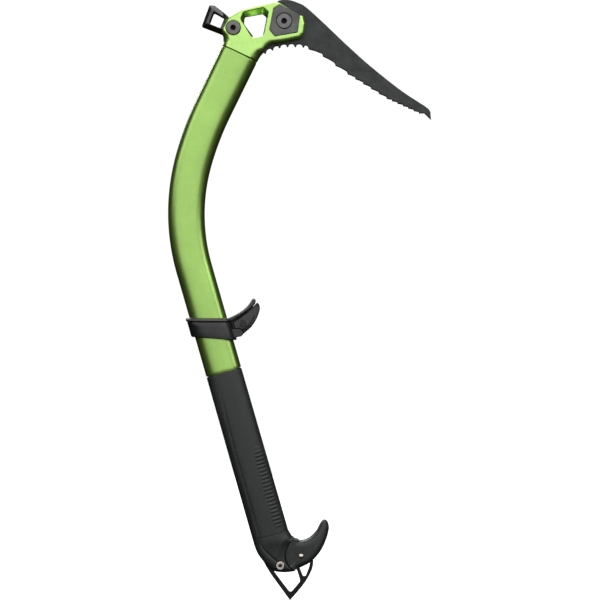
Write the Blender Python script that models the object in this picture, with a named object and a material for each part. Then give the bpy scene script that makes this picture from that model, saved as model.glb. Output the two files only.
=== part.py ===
"""Technical ice axe: bent tube shaft, forged head, toothed pick, micro hammer,
sliding finger trigger, rubber grip, pommel with a spike and a folding finger hook.

Sizes are in millimetres and become metres when a mesh is made. The tool stands in
the XZ plane: +Z is up, +X points to the pick's side, Y runs through the thickness
and -Y is the near side. The world origin is the middle of the hand grip.
"""

import math

import bmesh
import bpy
from mathutils import Vector

MM = 0.001
GAP = 0.3                     # between pieces that touch

# Shaft centreline, measured along it from the middle of the grip, upwards.
LEAN = math.radians(16.0)     # the grip leans back by this much
GRIP_TOP = 70.6               # half the grip's length
GRIP_BOTTOM = -70.6
SHAFT_BOTTOM = -77.0
BEND_START = 160.4
BENDS = ((166.5, math.radians(32.0)), (268.0, math.radians(9.8)))  # radius, turn
NECK_LENGTH = 49.6            # straight shaft between the bend and the head
SHAFT_TOP = BEND_START + sum(radius * turn for radius, turn in BENDS) + NECK_LENGTH

# Shaft section: a flattened oval, a little wider towards the head.
OVAL_POWER = 2.7
OVAL_SIDES = 32
HALF_WIDTH = 15.1
HALF_DEPTH = 10.0
HEAD_HALF_WIDTH = 16.1
HEAD_HALF_DEPTH = 10.5
WIDENING_START = 130.0
WALL = 1.8
GRIP_STEP = 1.6               # the shaft is reduced by this under the grip

# Reference points in the XZ plane.
PICK_BOLT = (31.1, 359.9)
HAMMER_BOLT = (-42.4, -5.6)   # from the pick bolt
FANG_PIN = (45.2, -85.3)
POMMEL_BOLT = (-17.3, -7.8)   # from the fang's pin
LEVER_PIN = (-6.5, 100.5)

# Thicknesses through Y, as half values.
CHEEK_HALF = 8.5
PICK_HALF = 2.0
PICK_SLOT_HALF = 2.3
PICK_RAISE = 1.0              # the blade's outline sits this far above its bolt's
RECESS_FLOOR = 6.0
HAMMER_HALF = 6.5
HAMMER_TANG_HALF = 4.0
SPIKE_HALF = 1.75
FANG_SLOT_HALF = 2.65
FANG_FOLD = 95                # degrees from the climbing position to folded away
TANG_SLOT_HALF = 2.05
FANG_HALF = 7.75
POMMEL_HALF = 10.3
LUG_RADIUS = 8.0
PIN_RADIUS = 2.0


# ---------------------------------------------------------------- outlines

def arc(centre, radius, start, end, steps):
    """Points on an arc, angles in degrees, anticlockwise when end is larger."""
    points = []
    for i in range(steps + 1):
        angle = math.radians(start + (end - start) * i / steps)
        points.append((centre[0] + radius * math.cos(angle), centre[1] + radius * math.sin(angle)))
    return points


def filleted(corners, radius=1.0, steps=3):
    """Round the corners of a closed outline; a corner may carry its own radius."""
    outline = []
    count = len(corners)
    for i, corner in enumerate(corners):
        here = Vector(corner[:2])
        before = Vector(corners[i - 1][:2]) - here
        after = Vector(corners[(i + 1) % count][:2]) - here
        size = corner[2] if len(corner) > 2 else radius
        half = before.angle(after) / 2
        if size == 0 or half > math.radians(88):
            outline.append(tuple(here))
            continue
        reach = min(size / math.tan(half), 0.45 * before.length, 0.45 * after.length)
        start = here + before.normalized() * reach
        end = here + after.normalized() * reach
        for k in range(steps + 1):
            t = k / steps
            point = start * (1 - t) ** 2 + here * 2 * t * (1 - t) + end * t ** 2
            outline.append(tuple(point))
    return outline


def smooth(points, steps=3):
    """Open Catmull-Rom curve through the given points."""
    padded = [points[0]] + list(points) + [points[-1]]
    curve = []
    for a, b, c, d in zip(padded, padded[1:], padded[2:], padded[3:]):
        for k in range(steps):
            t = k / steps
            curve.append(tuple(
                0.5 * (2 * q + (r - p) * t + (2 * p - 5 * q + 4 * r - s) * t * t
                       + (3 * q - p - 3 * r + s) * t ** 3)
                for p, q, r, s in zip(a, b, c, d)))
    curve.append(tuple(points[-1]))
    return curve


def station(s):
    """Point on the centreline and its backward lean, s along it from the grip's middle."""
    if s <= BEND_START:
        return -s * math.sin(LEAN), s * math.cos(LEAN), LEAN
    x, z, lean = station(BEND_START)
    left = s - BEND_START
    for radius, turn in BENDS:
        angle = min(left / radius, turn)
        x += radius * (math.cos(lean) - math.cos(lean - angle))
        z += radius * (math.sin(lean) - math.sin(lean - angle))
        lean -= angle
        left -= angle * radius
    return x - left * math.sin(lean), z + left * math.cos(lean), lean


def along_grip(s, t):
    """XZ point at s along the straight lower shaft and t forward of its centreline."""
    return (t * math.cos(LEAN) - s * math.sin(LEAN), s * math.cos(LEAN) + t * math.sin(LEAN))


def shaft_half_sizes(s):
    """Half width and half depth of the shaft's outer oval."""
    share = max(0.0, (s - WIDENING_START) / (SHAFT_TOP - WIDENING_START)) ** 1.5
    return (HALF_WIDTH + (HEAD_HALF_WIDTH - HALF_WIDTH) * share,
            HALF_DEPTH + (HEAD_HALF_DEPTH - HALF_DEPTH) * share)


def oval(half_width, half_depth, sides=OVAL_SIDES):
    """Flattened oval as (across, depth) pairs."""
    points = []
    for i in range(sides):
        angle = 2 * math.pi * i / sides
        c, s = math.cos(angle), math.sin(angle)
        points.append((half_width * math.copysign(abs(c) ** (2 / OVAL_POWER), c),
                       half_depth * math.copysign(abs(s) ** (2 / OVAL_POWER), s)))
    return points


def shaft_ring(s, inset=0.0):
    """Oval ring square to the centreline, smaller than the shaft by inset."""
    x, z, lean = station(s)
    half_width, half_depth = shaft_half_sizes(s)
    return [(x + across * math.cos(lean), depth, z + across * math.sin(lean))
            for across, depth in oval(half_width - inset, half_depth - inset)]


# ---------------------------------------------------------------- meshes and objects

def skin(rings, looped=False):
    """Join equal rings of points; the ends are capped unless the stack loops."""
    bm = bmesh.new()
    rows = [[bm.verts.new(Vector(point) * MM) for point in ring] for ring in rings]
    pairs = list(zip(rows, rows[1:] + rows[:1])) if looped else list(zip(rows, rows[1:]))
    for low, high in pairs:
        for i in range(len(low)):
            j = (i + 1) % len(low)
            bm.faces.new((low[i], low[j], high[j], high[i]))
    if not looped:
        bm.faces.new(rows[0])
        bm.faces.new(rows[-1])
    bmesh.ops.recalc_face_normals(bm, faces=bm.faces)
    return bm


def prism(outline, near, far):
    """Extrude an XZ outline through Y from near to far."""
    return skin([[(x, y, z) for x, z in outline] for y in (near, far)])


def turned(profile, centre=(0, 0), sides=24, looped=False):
    """Turn (radius, y) points about an axis along Y; radius 0 makes a pole."""
    bm = bmesh.new()
    rows = []
    for radius, y in profile:
        if radius == 0:
            rows.append([bm.verts.new(Vector((centre[0], y, centre[1])) * MM)])
            continue
        rows.append([bm.verts.new(Vector((centre[0] + radius * math.cos(a), y,
                                          centre[1] + radius * math.sin(a))) * MM)
                     for a in (2 * math.pi * i / sides for i in range(sides))])
    for low, high in zip(rows, rows[1:] + rows[:1]) if looped else zip(rows, rows[1:]):
        for i in range(sides):
            j = (i + 1) % sides
            corners = [low[i % len(low)], low[j % len(low)], high[j % len(high)], high[i % len(high)]]
            bm.faces.new(list(dict.fromkeys(corners)))
    bmesh.ops.recalc_face_normals(bm, faces=bm.faces)
    return bm


def drum(radius, near, far, centre=(0, 0), sides=24):
    """Solid cylinder along Y."""
    return turned([(0, near), (radius, near), (radius, far), (0, far)], centre, sides)


def narrow(bm, half, half_at):
    """Scale the depth of a mesh made with the given half so that it follows half_at(x, z)."""
    for vertex in bm.verts:
        vertex.co.y *= half_at(vertex.co.x / MM, vertex.co.z / MM) / half


def fold_lines(bm, point, normal, distances):
    """Cut a mesh along parallel planes square to XZ, so that its flat faces can bend there."""
    for distance in distances:
        at = Vector((point[0] + normal[0] * distance, 0, point[1] + normal[1] * distance)) * MM
        parts = bm.verts[:] + bm.edges[:] + bm.faces[:]
        bmesh.ops.bisect_plane(bm, geom=parts, plane_co=at, plane_no=(normal[0], 0, normal[1]))


def material(name, colour, roughness, metallic):
    made = bpy.data.materials.new(name)
    made.use_nodes = True
    shader = made.node_tree.nodes["Principled BSDF"]
    shader.inputs["Base Color"].default_value = (*colour, 1.0)
    shader.inputs["Roughness"].default_value = roughness
    shader.inputs["Metallic"].default_value = metallic
    made.diffuse_color = (*colour, 1.0)
    return made


def group(name, point, parent=None):
    """Empty on a reference point or a joint's axis."""
    empty = bpy.data.objects.new(name, None)
    empty.location = (point[0] * MM, 0, point[1] * MM)
    if parent:
        empty.location -= parent.location
        empty.parent = parent
    bpy.context.collection.objects.link(empty)
    return empty


def add(name, bm, finish, parent=None):
    mesh = bpy.data.meshes.new(name)
    bm.to_mesh(mesh)
    bm.free()
    mesh.shade_smooth()
    mesh.set_sharp_from_angle(angle=math.radians(35))
    mesh.materials.append(finish)
    part = bpy.data.objects.new(name, mesh)
    part.parent = parent
    bpy.context.collection.objects.link(part)
    return part


def bevel(part, width, segments=2, angle=40):
    """Round the sharp edges."""
    modifier = part.modifiers.new("rounding", "BEVEL")
    modifier.width = width * MM
    modifier.segments = segments
    modifier.limit_method = "ANGLE"
    modifier.angle_limit = math.radians(angle)


def combine(part, bm, operation="DIFFERENCE"):
    """Boolean with a helper solid in the part's own group."""
    helper = add(part.name + "_helper", bm, part.data.materials[0], part.parent)
    helper.hide_render = True
    helper.display_type = "WIRE"
    modifier = part.modifiers.new(operation.lower(), "BOOLEAN")
    modifier.operation = operation
    modifier.object = helper


def join_on(part, bm):
    combine(part, bm, "UNION")


def socket_bolt(name, finish, parent, centre, head, shank, tip, socket):
    """Bolt along Y. head is (radius, top y, seat y), socket is (radius, depth)."""
    radius, top, seat = head
    edge = 0.15 * radius
    bolt = add(name, turned([(0, top), (radius - edge, top), (radius, top + edge), (radius, seat),
                             (shank, seat), (shank, tip), (0, tip)], centre), finish, parent)
    hexagon = arc(centre, socket[0], 0, 300, 5)
    combine(bolt, prism(hexagon, top - 1, top + socket[1]))
    return bolt


def ring_nut(name, finish, parent, centre, radius, hole, near, far, sides=24):
    """Nut or washer with its hole along Y."""
    edge = min(0.5, (far - near) / 4)
    profile = [(hole, near), (radius, near), (radius, far - edge), (radius - edge, far), (hole, far)]
    return add(name, turned(profile, centre, sides, looped=True), finish, parent)


# ---------------------------------------------------------------- shaft and grip

def build_shaft(finish):
    """Bent tube, reduced under the grip, with chamfered shoulders at both ends."""
    chamfer = 0.5
    outer = [shaft_ring(SHAFT_BOTTOM, GRIP_STEP), shaft_ring(GRIP_TOP, GRIP_STEP),
             shaft_ring(GRIP_TOP, chamfer), shaft_ring(GRIP_TOP + chamfer)]
    bend_length = SHAFT_TOP - NECK_LENGTH - BEND_START
    curve = [WIDENING_START] + [BEND_START + bend_length * i / 14 for i in range(15)]
    outer += [shaft_ring(s) for s in curve]
    outer += [shaft_ring(SHAFT_TOP - chamfer), shaft_ring(SHAFT_TOP, chamfer)]
    inner = [shaft_ring(SHAFT_TOP, WALL)] + [shaft_ring(s, WALL) for s in reversed(curve)]
    inner += [shaft_ring(GRIP_TOP + 12, WALL), shaft_ring(GRIP_TOP - 4, WALL + GRIP_STEP),
              shaft_ring(SHAFT_BOTTOM, WALL + GRIP_STEP)]
    return add("shaft", skin(outer + inner, looped=True), finish)


def build_grip(finish):
    """Rubber sleeve over the reduced shaft, a little fuller at its bottom."""
    bulge = 0.3
    outer = [shaft_ring(GRIP_BOTTOM, -bulge), shaft_ring(-20), shaft_ring(GRIP_TOP - GAP, 0.15)]
    bore = GRIP_STEP - GAP
    inner = [shaft_ring(GRIP_TOP - GAP, bore), shaft_ring(-20, bore), shaft_ring(GRIP_BOTTOM, bore)]
    return add("grip_sleeve", skin(outer + inner, looped=True), finish)


# ---------------------------------------------------------------- head

HEAD_OUTLINE = [
    (-50.8, -16.6, 3), (-50.9, -12.5, 3), (-52.1, -8.6, 4), (-51.2, -4.0, 3), (-46.2, 3.6, 3),
    (-35.7, 9.8, 8), (-22.4, 13.1, 8), (-7.0, 16.3, 3), (-3.2, 15.2, 2), (13.2, 5.3, 3), (16.3, 4.5, 2),
    (17.7, -2.2, 3), (16.6, -10.6, 4), (13.2, -14.6, 4), (0.3, -17.3, 8), (-10.9, -18.9, 6),
    (-16.1, -22.7, 4), (-19.6, -27.8, 8),
]
WINDOW = [(-36.4, 1.6, 2.5), (-33.9, 7.4, 2.5), (-17.1, 11.2, 3), (-12.9, 7.4, 2), (-17.1, -12.2, 2),
          (-26.6, -14.2, 1.5)]
PLATE = [(-3.1, 13.9), (13.0, 5.2), (11.2, -9.4), (-7.7, -12.7), (-12.2, -7.2), (-8.8, 10.3)]
HAMMER_TANG = [(-41.6, 1.0, 2), (-36.8, -5.6, 4), (-41.2, -13.2, 4), (-48.4, -12.6, 2), (-50.6, -8.0, 1),
               (-52.6, -6.6, 0), (-47.4, 4.6, 0)]


HEAD_TAPER = 14.0             # the cheeks get thinner over this distance above the seam


def head_outline():
    """Side outline of the forging, closed by its seam with the shaft."""
    x, z, lean = station(SHAFT_TOP + GAP)
    seam = [(x - PICK_BOLT[0] + side * HEAD_HALF_WIDTH * math.cos(lean),
             z - PICK_BOLT[1] + side * HEAD_HALF_WIDTH * math.sin(lean), 0) for side in (1, -1)]
    return filleted(seam + HEAD_OUTLINE)


def head_seam():
    """Middle of the seam and the direction of the neck there, from the pick bolt."""
    x, z, lean = station(SHAFT_TOP)
    return (x - PICK_BOLT[0], z - PICK_BOLT[1]), (-math.sin(lean), math.cos(lean))


def cheek_half(x, z):
    """Half thickness of the head: the shaft's depth at the seam, thinner above."""
    seam, up = head_seam()
    share = ((x - seam[0]) * up[0] + (z - seam[1]) * up[1]) / HEAD_TAPER
    return HEAD_HALF_DEPTH + (CHEEK_HALF - HEAD_HALF_DEPTH) * min(1.0, max(0.0, share))


def pick_rear(clearance=0.0):
    """Rear edge of the pick inside the head, from its top to its bottom."""
    edge = [(-4.6, 17.2), (-8.0, 14.2), (-9.9, 6.0), (-12.6, -10.0), (-16.4, -19.0), (-18.2, -25.8)]
    return [(x - clearance, z + PICK_RAISE) for x, z in edge]


def build_head(finish, parent):
    """Forging with a tenon in the shaft, two cheeks round the pick and a window."""
    bm = prism(head_outline(), -HEAD_HALF_DEPTH, HEAD_HALF_DEPTH)
    fold_lines(bm, *head_seam(), (0.5 * HEAD_TAPER, HEAD_TAPER))
    narrow(bm, HEAD_HALF_DEPTH, cheek_half)
    head = add("head", bm, finish, parent)
    bevel(head, 2.0)
    tenon = [[(x - PICK_BOLT[0], y, z - PICK_BOLT[1]) for x, y, z in shaft_ring(s, WALL + GAP)]
             for s in (SHAFT_TOP - 26, SHAFT_TOP + 4)]
    join_on(head, skin(tenon))
    combine(head, prism(filleted(WINDOW), -12, 12))
    slot = [(30.0, 26.0), (-4.9, 26.0)] + pick_rear(GAP) + [(-18.6, -40.0), (30.0, -40.0)]
    combine(head, prism(slot, -PICK_SLOT_HALF, PICK_SLOT_HALF))
    for near, far in ((-12, -RECESS_FLOOR), (RECESS_FLOOR, 12)):
        recess = [(x + GAP * math.copysign(1, x), z + GAP * math.copysign(1, z)) for x, z in PLATE]
        combine(head, prism(filleted(recess, 1.5), near, far))
    combine(head, drum(3.3, -12, 12))
    combine(head, prism(hammer_tang_outline(GAP), -HAMMER_TANG_HALF - GAP, HAMMER_TANG_HALF + GAP))
    combine(head, drum(3.3, -12, 12, HAMMER_BOLT))
    for near, far in ((-12, -5.6), (5.6, 12)):
        combine(head, drum(6.4, near, far, HAMMER_BOLT, 32))
    return head


# ---------------------------------------------------------------- pick and its clamp

SCALLOP_TIPS = [(-15.9, -27.0), (-9.9, -24.3), (-3.9, -22.4), (2.8, -21.5), (9.3, -21.5), (16.0, -21.9),
                (21.1, -23.8)]
LONG_TEETH = [(21.1, -23.6), (32.5, -29.6), (42.9, -37.2), (53.1, -44.4)]
MEDIUM_TEETH = 5
MEDIUM_END = (85.8, -64.9)
SMALL_TEETH = 6
SMALL_END = (112.8, -77.2)
PICK_TIP = (122.7, -82.5)


def scallops():
    """Row of round hollows with blunt teeth between them."""
    outline = []
    for (x0, z0), (x1, z1) in zip(SCALLOP_TIPS, SCALLOP_TIPS[1:]):
        outline += [(x0 - 0.7, z0 + 0.1), (x0 + 0.7, z0 + 0.1)]
        for k in range(5):
            t = k / 4
            across = x0 + 1.3 + (x1 - x0 - 2.6) * t
            outline.append((across, z0 + (z1 - z0) * t + 0.9 + 1.9 * math.sin(math.pi * t)))
    return outline


def tooth_tips():
    """Tips from the arm to the point: long teeth, then medium, then small ones."""
    tips = list(LONG_TEETH)
    for count, end in ((MEDIUM_TEETH, MEDIUM_END), (SMALL_TEETH, SMALL_END)):
        start = tips[-1]
        tips += [tuple(a + (b - a) * k / count for a, b in zip(start, end)) for k in range(1, count + 1)]
    return tips


def saw_edge():
    """Teeth that lean back: a shallow run from each tip, then a short steep drop."""
    outline = []
    tips = tooth_tips()
    for (x0, z0), (x1, z1) in zip(tips, tips[1:]):
        pitch = math.hypot(x1 - x0, z1 - z0)
        drop = 0.6 + 0.17 * pitch
        outline += [(x0, z0), (x0 + 0.76 * (x1 - x0), z0 + 0.76 * (z1 - z0) + 0.62 * drop),
                    (x1 - 0.13 * pitch, z1 + 1.12 * drop), (x1 - 0.04 * pitch, z1 + 0.62 * drop)]
    return outline + [tips[-1], (tips[-1][0] + 4.2, tips[-1][1] + 0.2)]


def pick_outline():
    back = smooth([(-4.6, 17.2), (-0.5, 17.9), (4.5, 17.6), (11.5, 15.3), (18.0, 11.8), (31.6, -0.3),
                   (51.6, -19.3), (71.7, -37.3), (96.8, -57.3), (117.0, -70.6)])
    front = [(120.6, -73.3), (122.2, -75.8), PICK_TIP]
    under = list(reversed(scallops() + saw_edge()))
    blade = [(x, z + PICK_RAISE) for x, z in back + front + under]
    return blade + list(reversed(pick_rear()))[:-1]


def build_pick(finish, parent):
    """Flat steel blade, thinner towards its point."""
    bm = prism(pick_outline(), -PICK_HALF, PICK_HALF)
    fold_lines(bm, (0, 0), (1, 0), (20.0, 120.0))
    narrow(bm, PICK_HALF, lambda x, z: PICK_HALF - 0.5 * min(1.0, max(0.0, (x - 20.0) / 100.0)))
    pick = add("pick", bm, finish, parent)
    combine(pick, drum(3.3, -6, 6))
    return pick


def build_pick_clamp(plate_finish, bolt_finish, parent):
    """A washer plate in each cheek, with the bolt and its nut."""
    for name, side in (("pick_plate_near", -1), ("pick_plate_far", 1)):
        near, far = sorted((side * (RECESS_FLOOR + GAP), side * (CHEEK_HALF + 0.1)))
        plate = add(name, prism(filleted(PLATE, 1.2, 2), near, far), plate_finish, parent)
        combine(plate, drum(3.3, -12, 12))
        sink = sorted((side * (RECESS_FLOOR + 1.3), side * 12))
        combine(plate, drum(6.9, *sink, sides=32))
    top = -(CHEEK_HALF + 0.3)
    seat = RECESS_FLOOR + 1.6
    socket_bolt("pick_bolt", bolt_finish, parent, (0, 0), (6.3, top, -seat), 2.9, 8.0, (2.45, 2.0))
    ring_nut("pick_nut", bolt_finish, parent, (0, 0), 6.3, 3.2, seat, -top, 32)


# ---------------------------------------------------------------- micro hammer

def hammer_tang_outline(clearance=0.0):
    """Tongue of the hammer inside the head, grown about its bolt for the pocket."""
    points = filleted(HAMMER_TANG, 2, 2)
    grown = []
    for x, z in points:
        away = Vector((x - HAMMER_BOLT[0], z - HAMMER_BOLT[1]))
        away += away.normalized() * clearance
        grown.append((HAMMER_BOLT[0] + away.x, HAMMER_BOLT[1] + away.y))
    return grown


def build_hammer(hammer_finish, bolt_finish, parent):
    """Square striking frame outside the head, with a tongue held by a bolt."""
    frame = [(-62.4, 14.0, 0.8), (-58.4, 13.8, 0.8), (-47.0, 5.2, 0), (-52.0, -6.0, 0), (-52.7, -9.0, 1),
             (-54.2, -9.2, 2), (-68.8, -3.6, 0.8)]
    hammer = add("micro_hammer", prism(filleted(frame), -HAMMER_HALF, HAMMER_HALF), hammer_finish, parent)
    bevel(hammer, 0.9)
    hole = [(-59.2, 8.0, 1.2), (-51.7, 2.9, 1.2), (-55.0, -5.9, 1.2), (-62.6, -2.2, 1.2)]
    combine(hammer, prism(filleted(hole), -12, 12))
    shave = head_outline()
    for near, far in ((-12, -HAMMER_TANG_HALF), (HAMMER_TANG_HALF, 12)):
        combine(hammer, prism([(x - 0.35, z + 0.1) for x, z in shave], near, far))
    join_on(hammer, prism(hammer_tang_outline(), -HAMMER_TANG_HALF, HAMMER_TANG_HALF))
    combine(hammer, drum(3.3, -12, 12, HAMMER_BOLT))
    head = (6.1, -CHEEK_HALF - 0.9, -5.9)
    socket_bolt("hammer_bolt", bolt_finish, parent, HAMMER_BOLT, head, 2.9, 8.0, (2.5, 2.0))
    ring_nut("hammer_nut", bolt_finish, parent, HAMMER_BOLT, 6.1, 3.2, 5.9, CHEEK_HALF + 0.9, 32)


# ---------------------------------------------------------------- sliding finger trigger

COLLAR_BOTTOM = -5.9          # at the front, from the lever's pin
COLLAR_REAR_RISE = 2.3        # the bottom rim is this much higher at the rear
COLLAR_TOP = 12.3
COLLAR_WALL = 2.5
EAR_NEAR = 3.6
EAR_FAR = 6.4
LEVER_TOP = [(-5.5, 8.9), (-1.6, 11.9), (3.0, 15.0), (7.7, 18.3), (12.6, 22.9), (14.9, 25.2)]
LEVER_CRESCENT = [(16.3, 24.2), (17.2, 21.2), (16.6, 17.4), (14.2, 11.3), (10.0, 4.9), (5.2, 0.6)]
TONGUE_TOP = [(-9.2, 11.6), (-4.4, 14.4), (0.4, 17.2), (4.8, 20.4), (8.6, 24.4), (11.0, 28.3)]
TONGUE_UNDER = [(13.6, 27.6), (13.1, 24.2), (7.2, 18.4), (2.6, 15.3), (-1.9, 12.3), (-5.4, 9.9), (-8.2, 9.0)]


def level_ring(height, grow, rear_rise=0.0):
    """Slice of the leaning shaft, grown outwards, at a height from the lever's pin at the front."""
    ring = []
    for across, depth in oval(HALF_WIDTH + grow, HALF_DEPTH + grow):
        here = height + rear_rise * (HALF_WIDTH - across) / (2 * HALF_WIDTH)
        middle = -(LEVER_PIN[1] + here) * math.tan(LEAN) - LEVER_PIN[0]
        ring.append((middle + across / math.cos(LEAN), depth, here))
    return ring


def build_collar(finish, parent):
    """Sleeve on the shaft with level rims, a lip, a curved tongue and two hinge ears."""
    full = GAP + COLLAR_WALL
    outer = [level_ring(COLLAR_BOTTOM, full - 0.6, COLLAR_REAR_RISE),
             level_ring(COLLAR_BOTTOM + 0.7, full, COLLAR_REAR_RISE),
             level_ring(COLLAR_TOP - 3.2, full), level_ring(COLLAR_TOP - 2.6, full + 0.5),
             level_ring(COLLAR_TOP - 0.6, full + 0.5), level_ring(COLLAR_TOP, full)]
    inner = [level_ring(COLLAR_TOP, GAP), level_ring(COLLAR_BOTTOM, GAP, COLLAR_REAR_RISE)]
    collar = add("strike_collar", skin(outer + inner, looped=True), finish, parent)
    tongue = prism(smooth(TONGUE_TOP, 2) + [(12.5, 28.8)] + smooth(TONGUE_UNDER, 2), -8.0, 8.0)
    narrow(tongue, 8.0, lambda x, z: 8.0 - 2.6 * min(1.0, max(0.0, z - 12.0) / 16.0))
    join_on(collar, tongue)
    ear = [(-6.2, 3.2), (0, 3.2)] + arc((0, 0), 3.2, 75, -60, 6) + [(-4.2, -5.5)]
    for near, far in ((-EAR_FAR, -EAR_NEAR), (EAR_NEAR, EAR_FAR)):
        join_on(collar, prism(ear, near, far))
    combine(collar, drum(1.15, -6.1, 6.1, sides=16))
    return collar


def build_lever(finish, steel, parent):
    """Clamp lever under the tongue: it turns down and forward on its pin."""
    outline = smooth(LEVER_TOP, 2) + smooth(LEVER_CRESCENT, 3) + arc((0, 0), 3.0, -40, -170, 7) + [(-3.4, 1.2)]
    body = prism(outline, -7.6, 7.6)
    narrow(body, 7.6, lambda x, z: 7.6 - 2.4 * min(1.0, max(0.0, z - 6.0) / 18.0))
    lever = add("strike_lever", body, finish, parent)
    bevel(lever, 0.8, 1, 50)
    relief = [(-9, 3.6), (0, 3.6)] + arc((0, 0), 3.6, 80, -45, 6) + [(3.6, -9), (-9, -9)]
    for near, far in ((-12, GAP - EAR_NEAR), (EAR_NEAR - GAP, 12)):
        combine(lever, prism(relief, near, far))
    combine(lever, drum(1.15, -9, 9, sides=16))
    boss = (3.4, 7.4)
    combine(lever, drum(2.8, -12, -6.4, boss))
    combine(lever, drum(1.5, -8, -1.0, boss, 16))
    add("strike_lever_pin", drum(1.0, -6.0, 6.0, sides=16), steel, parent)
    socket_bolt("strike_screw", steel, parent, boss, (2.5, -7.9, -6.7), 1.2, -1.5, (1.1, 0.7))
    return lever


# ---------------------------------------------------------------- pommel, spike and hook

KNUCKLE_RADIUS = 13.2
SEAT_CENTRE = (3.66, 0.34)
SEAT_RADIUS = 16.5
POMMEL_REAR = [(-38.9, 7.8), (-36.7, 2.6), (-33.6, -2.3), (-28.4, -8.4), (-22.9, -12.9), (-15.1, -14.2),
               (-8.6, -13.8), (-5.0, -13.2)]
FANG_FINGER_SIDE = [(-1.5, 12.5), (1.6, 12.6), (5.0, 13.7), (9.1, 16.5), (13.2, 21.2), (16.2, 27.0),
                    (18.9, 29.8), (21.9, 28.4), (23.3, 24.1)]
FANG_BACK = [(22.9, 20.0), (21.6, 15.2), (18.6, 7.7), (15.4, 2.5), (11.3, -2.4), (5.8, -6.9), (-1.8, -10.5)]
SPIKE_FRONT = [(-9.3, -37.7), (-2.8, -30.3), (3.1, -22.8), (7.2, -16.0), (9.6, -10.0), (10.3, -4.5)]
SPIKE_TANG = [(-1.4, 7.9), (-12.0, 8.4), (-26.4, 5.0), (-28.6, 2.0)]
SPIKE_REAR = [(-31.8, -4.6), (-25.8, -14.8), (-19.0, -24.3), (-9.3, -37.7)]
SPIKE_HOLE = [(-23.6, -12.4, 2), (-17.0, -11.4, 1), (-12.0, -11.0, 1), (-3.6, -11.6, 1.5),
              (-1.5, -18.5, 2), (-0.6, -22.0, 2.5), (-7.9, -30.6, 1), (-9.8, -30.6, 1), (-16.8, -21.6, 3)]
SPIKE_SLIT = [(-2.2, -8.2, 1), (7.7, -4.4, 1.2), (6.9, -9.6, 6), (3.9, -17.6, 1), (1.6, -17.6, 1)]


def knuckle(clearance, end):
    """Round rear of the hook and, with a clearance, its seat in the pommel; top to bottom."""
    upper = arc(SEAT_CENTRE, SEAT_RADIUS + clearance, 125, 162, 6)
    lower = arc((0, 0), KNUCKLE_RADIUS + clearance, 161, end, 9)
    return upper + lower


def at_butt(s, t):
    """XZ point along the lower shaft, as along_grip, from the hook's pin."""
    x, z = along_grip(s, t)
    return x - FANG_PIN[0], z - FANG_PIN[1]


def build_end_block(finish, parent):
    """Block bonded in the shaft's end, with a forked tongue for the spike's tang."""
    rings = [[(x - FANG_PIN[0], y, z - FANG_PIN[1])
              for x, y, z in shaft_ring(s, WALL + GRIP_STEP + GAP)] for s in (-81.0, -56.0)]
    block = add("end_block", skin(rings), finish, parent)
    tongue = [at_butt(*p) for p in ((-78, -8.4), (-90, -8.4), (-99, -4.0), (-101.4, 0), (-101.4, 4.0),
                                    (-99, 6.0), (-78, 6.0))]
    join_on(block, prism(tongue, -4.7, 4.7))
    slot = [at_butt(*p) for p in ((-81.8, -20), (-110, -20), (-110, 20), (-81.8, 20))]
    combine(block, prism(slot, -TANG_SLOT_HALF, TANG_SLOT_HALF))
    combine(block, drum(2.2, -9, 9, POMMEL_BOLT, 20))
    return block


def build_pommel(finish, parent):
    """Moulded end cap with a round seat for the hook and a slot for the spike."""
    rear_top = at_butt(GRIP_BOTTOM - GAP, -HALF_WIDTH - 0.3)
    front_top = at_butt(GRIP_BOTTOM - GAP, HALF_WIDTH + 0.3)
    outline = smooth([rear_top] + POMMEL_REAR, 2) + list(reversed(knuckle(GAP, 249)))
    outline += smooth([(-7.6, 16.0), (-9.0, 18.2), front_top], 2)

    def half_at(x, z):
        share = min(1.0, max(0.0, (19.0 - z) / 30.0))
        return POMMEL_HALF - 2.0 * share

    bm = prism(outline, -POMMEL_HALF, POMMEL_HALF)
    narrow(bm, POMMEL_HALF, half_at)
    pommel = add("pommel", bm, finish, parent)
    bevel(pommel, 1.5, 2, 50)
    socket = [[(x - FANG_PIN[0], y, z - FANG_PIN[1]) for x, y, z in shaft_ring(s, GRIP_STEP - GAP)]
              for s in (-81.4, -60.0)]
    combine(pommel, skin(socket))
    cavity = [at_butt(*p) for p in ((-73, -8.8), (-90.2, -8.8), (-99.2, -4.4), (-101.8, -0.3),
                                    (-101.8, 4.3), (-99.3, 6.4), (-73, 6.4))]
    combine(pommel, prism(cavity, -5.0, 5.0))
    slot = [(-32.6, -4.2), (-29.4, 2.4), (-27.4, 5.8), (-12.0, 9.2), (9.0, 9.2), (9.0, -25.0), (-34.0, -25.0)]
    combine(pommel, prism(slot, -TANG_SLOT_HALF, TANG_SLOT_HALF))
    combine(pommel, drum(2.2, -12, 12, POMMEL_BOLT, 20))
    for near, far in ((-12, -6.3), (6.3, 12)):
        combine(pommel, drum(3.9, near, far, POMMEL_BOLT))
    return pommel


def build_spike(finish, parent):
    """Steel plate: tang in the block, lug for the hook's pin, and an open point."""
    lug = arc((0, 0), LUG_RADIUS, -5, 90, 8)
    outline = smooth(SPIKE_FRONT, 2) + lug + SPIKE_TANG + smooth(SPIKE_REAR, 2)[:-1]
    spike = add("spike", prism(outline, -SPIKE_HALF, SPIKE_HALF), finish, parent)
    combine(spike, prism(filleted(SPIKE_HOLE), -5, 5))
    combine(spike, prism(filleted(SPIKE_SLIT), -5, 5))
    combine(spike, drum(2.2, -5, 5, POMMEL_BOLT, 20))
    combine(spike, drum(PIN_RADIUS + 0.15, -5, 5))
    return spike


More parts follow.
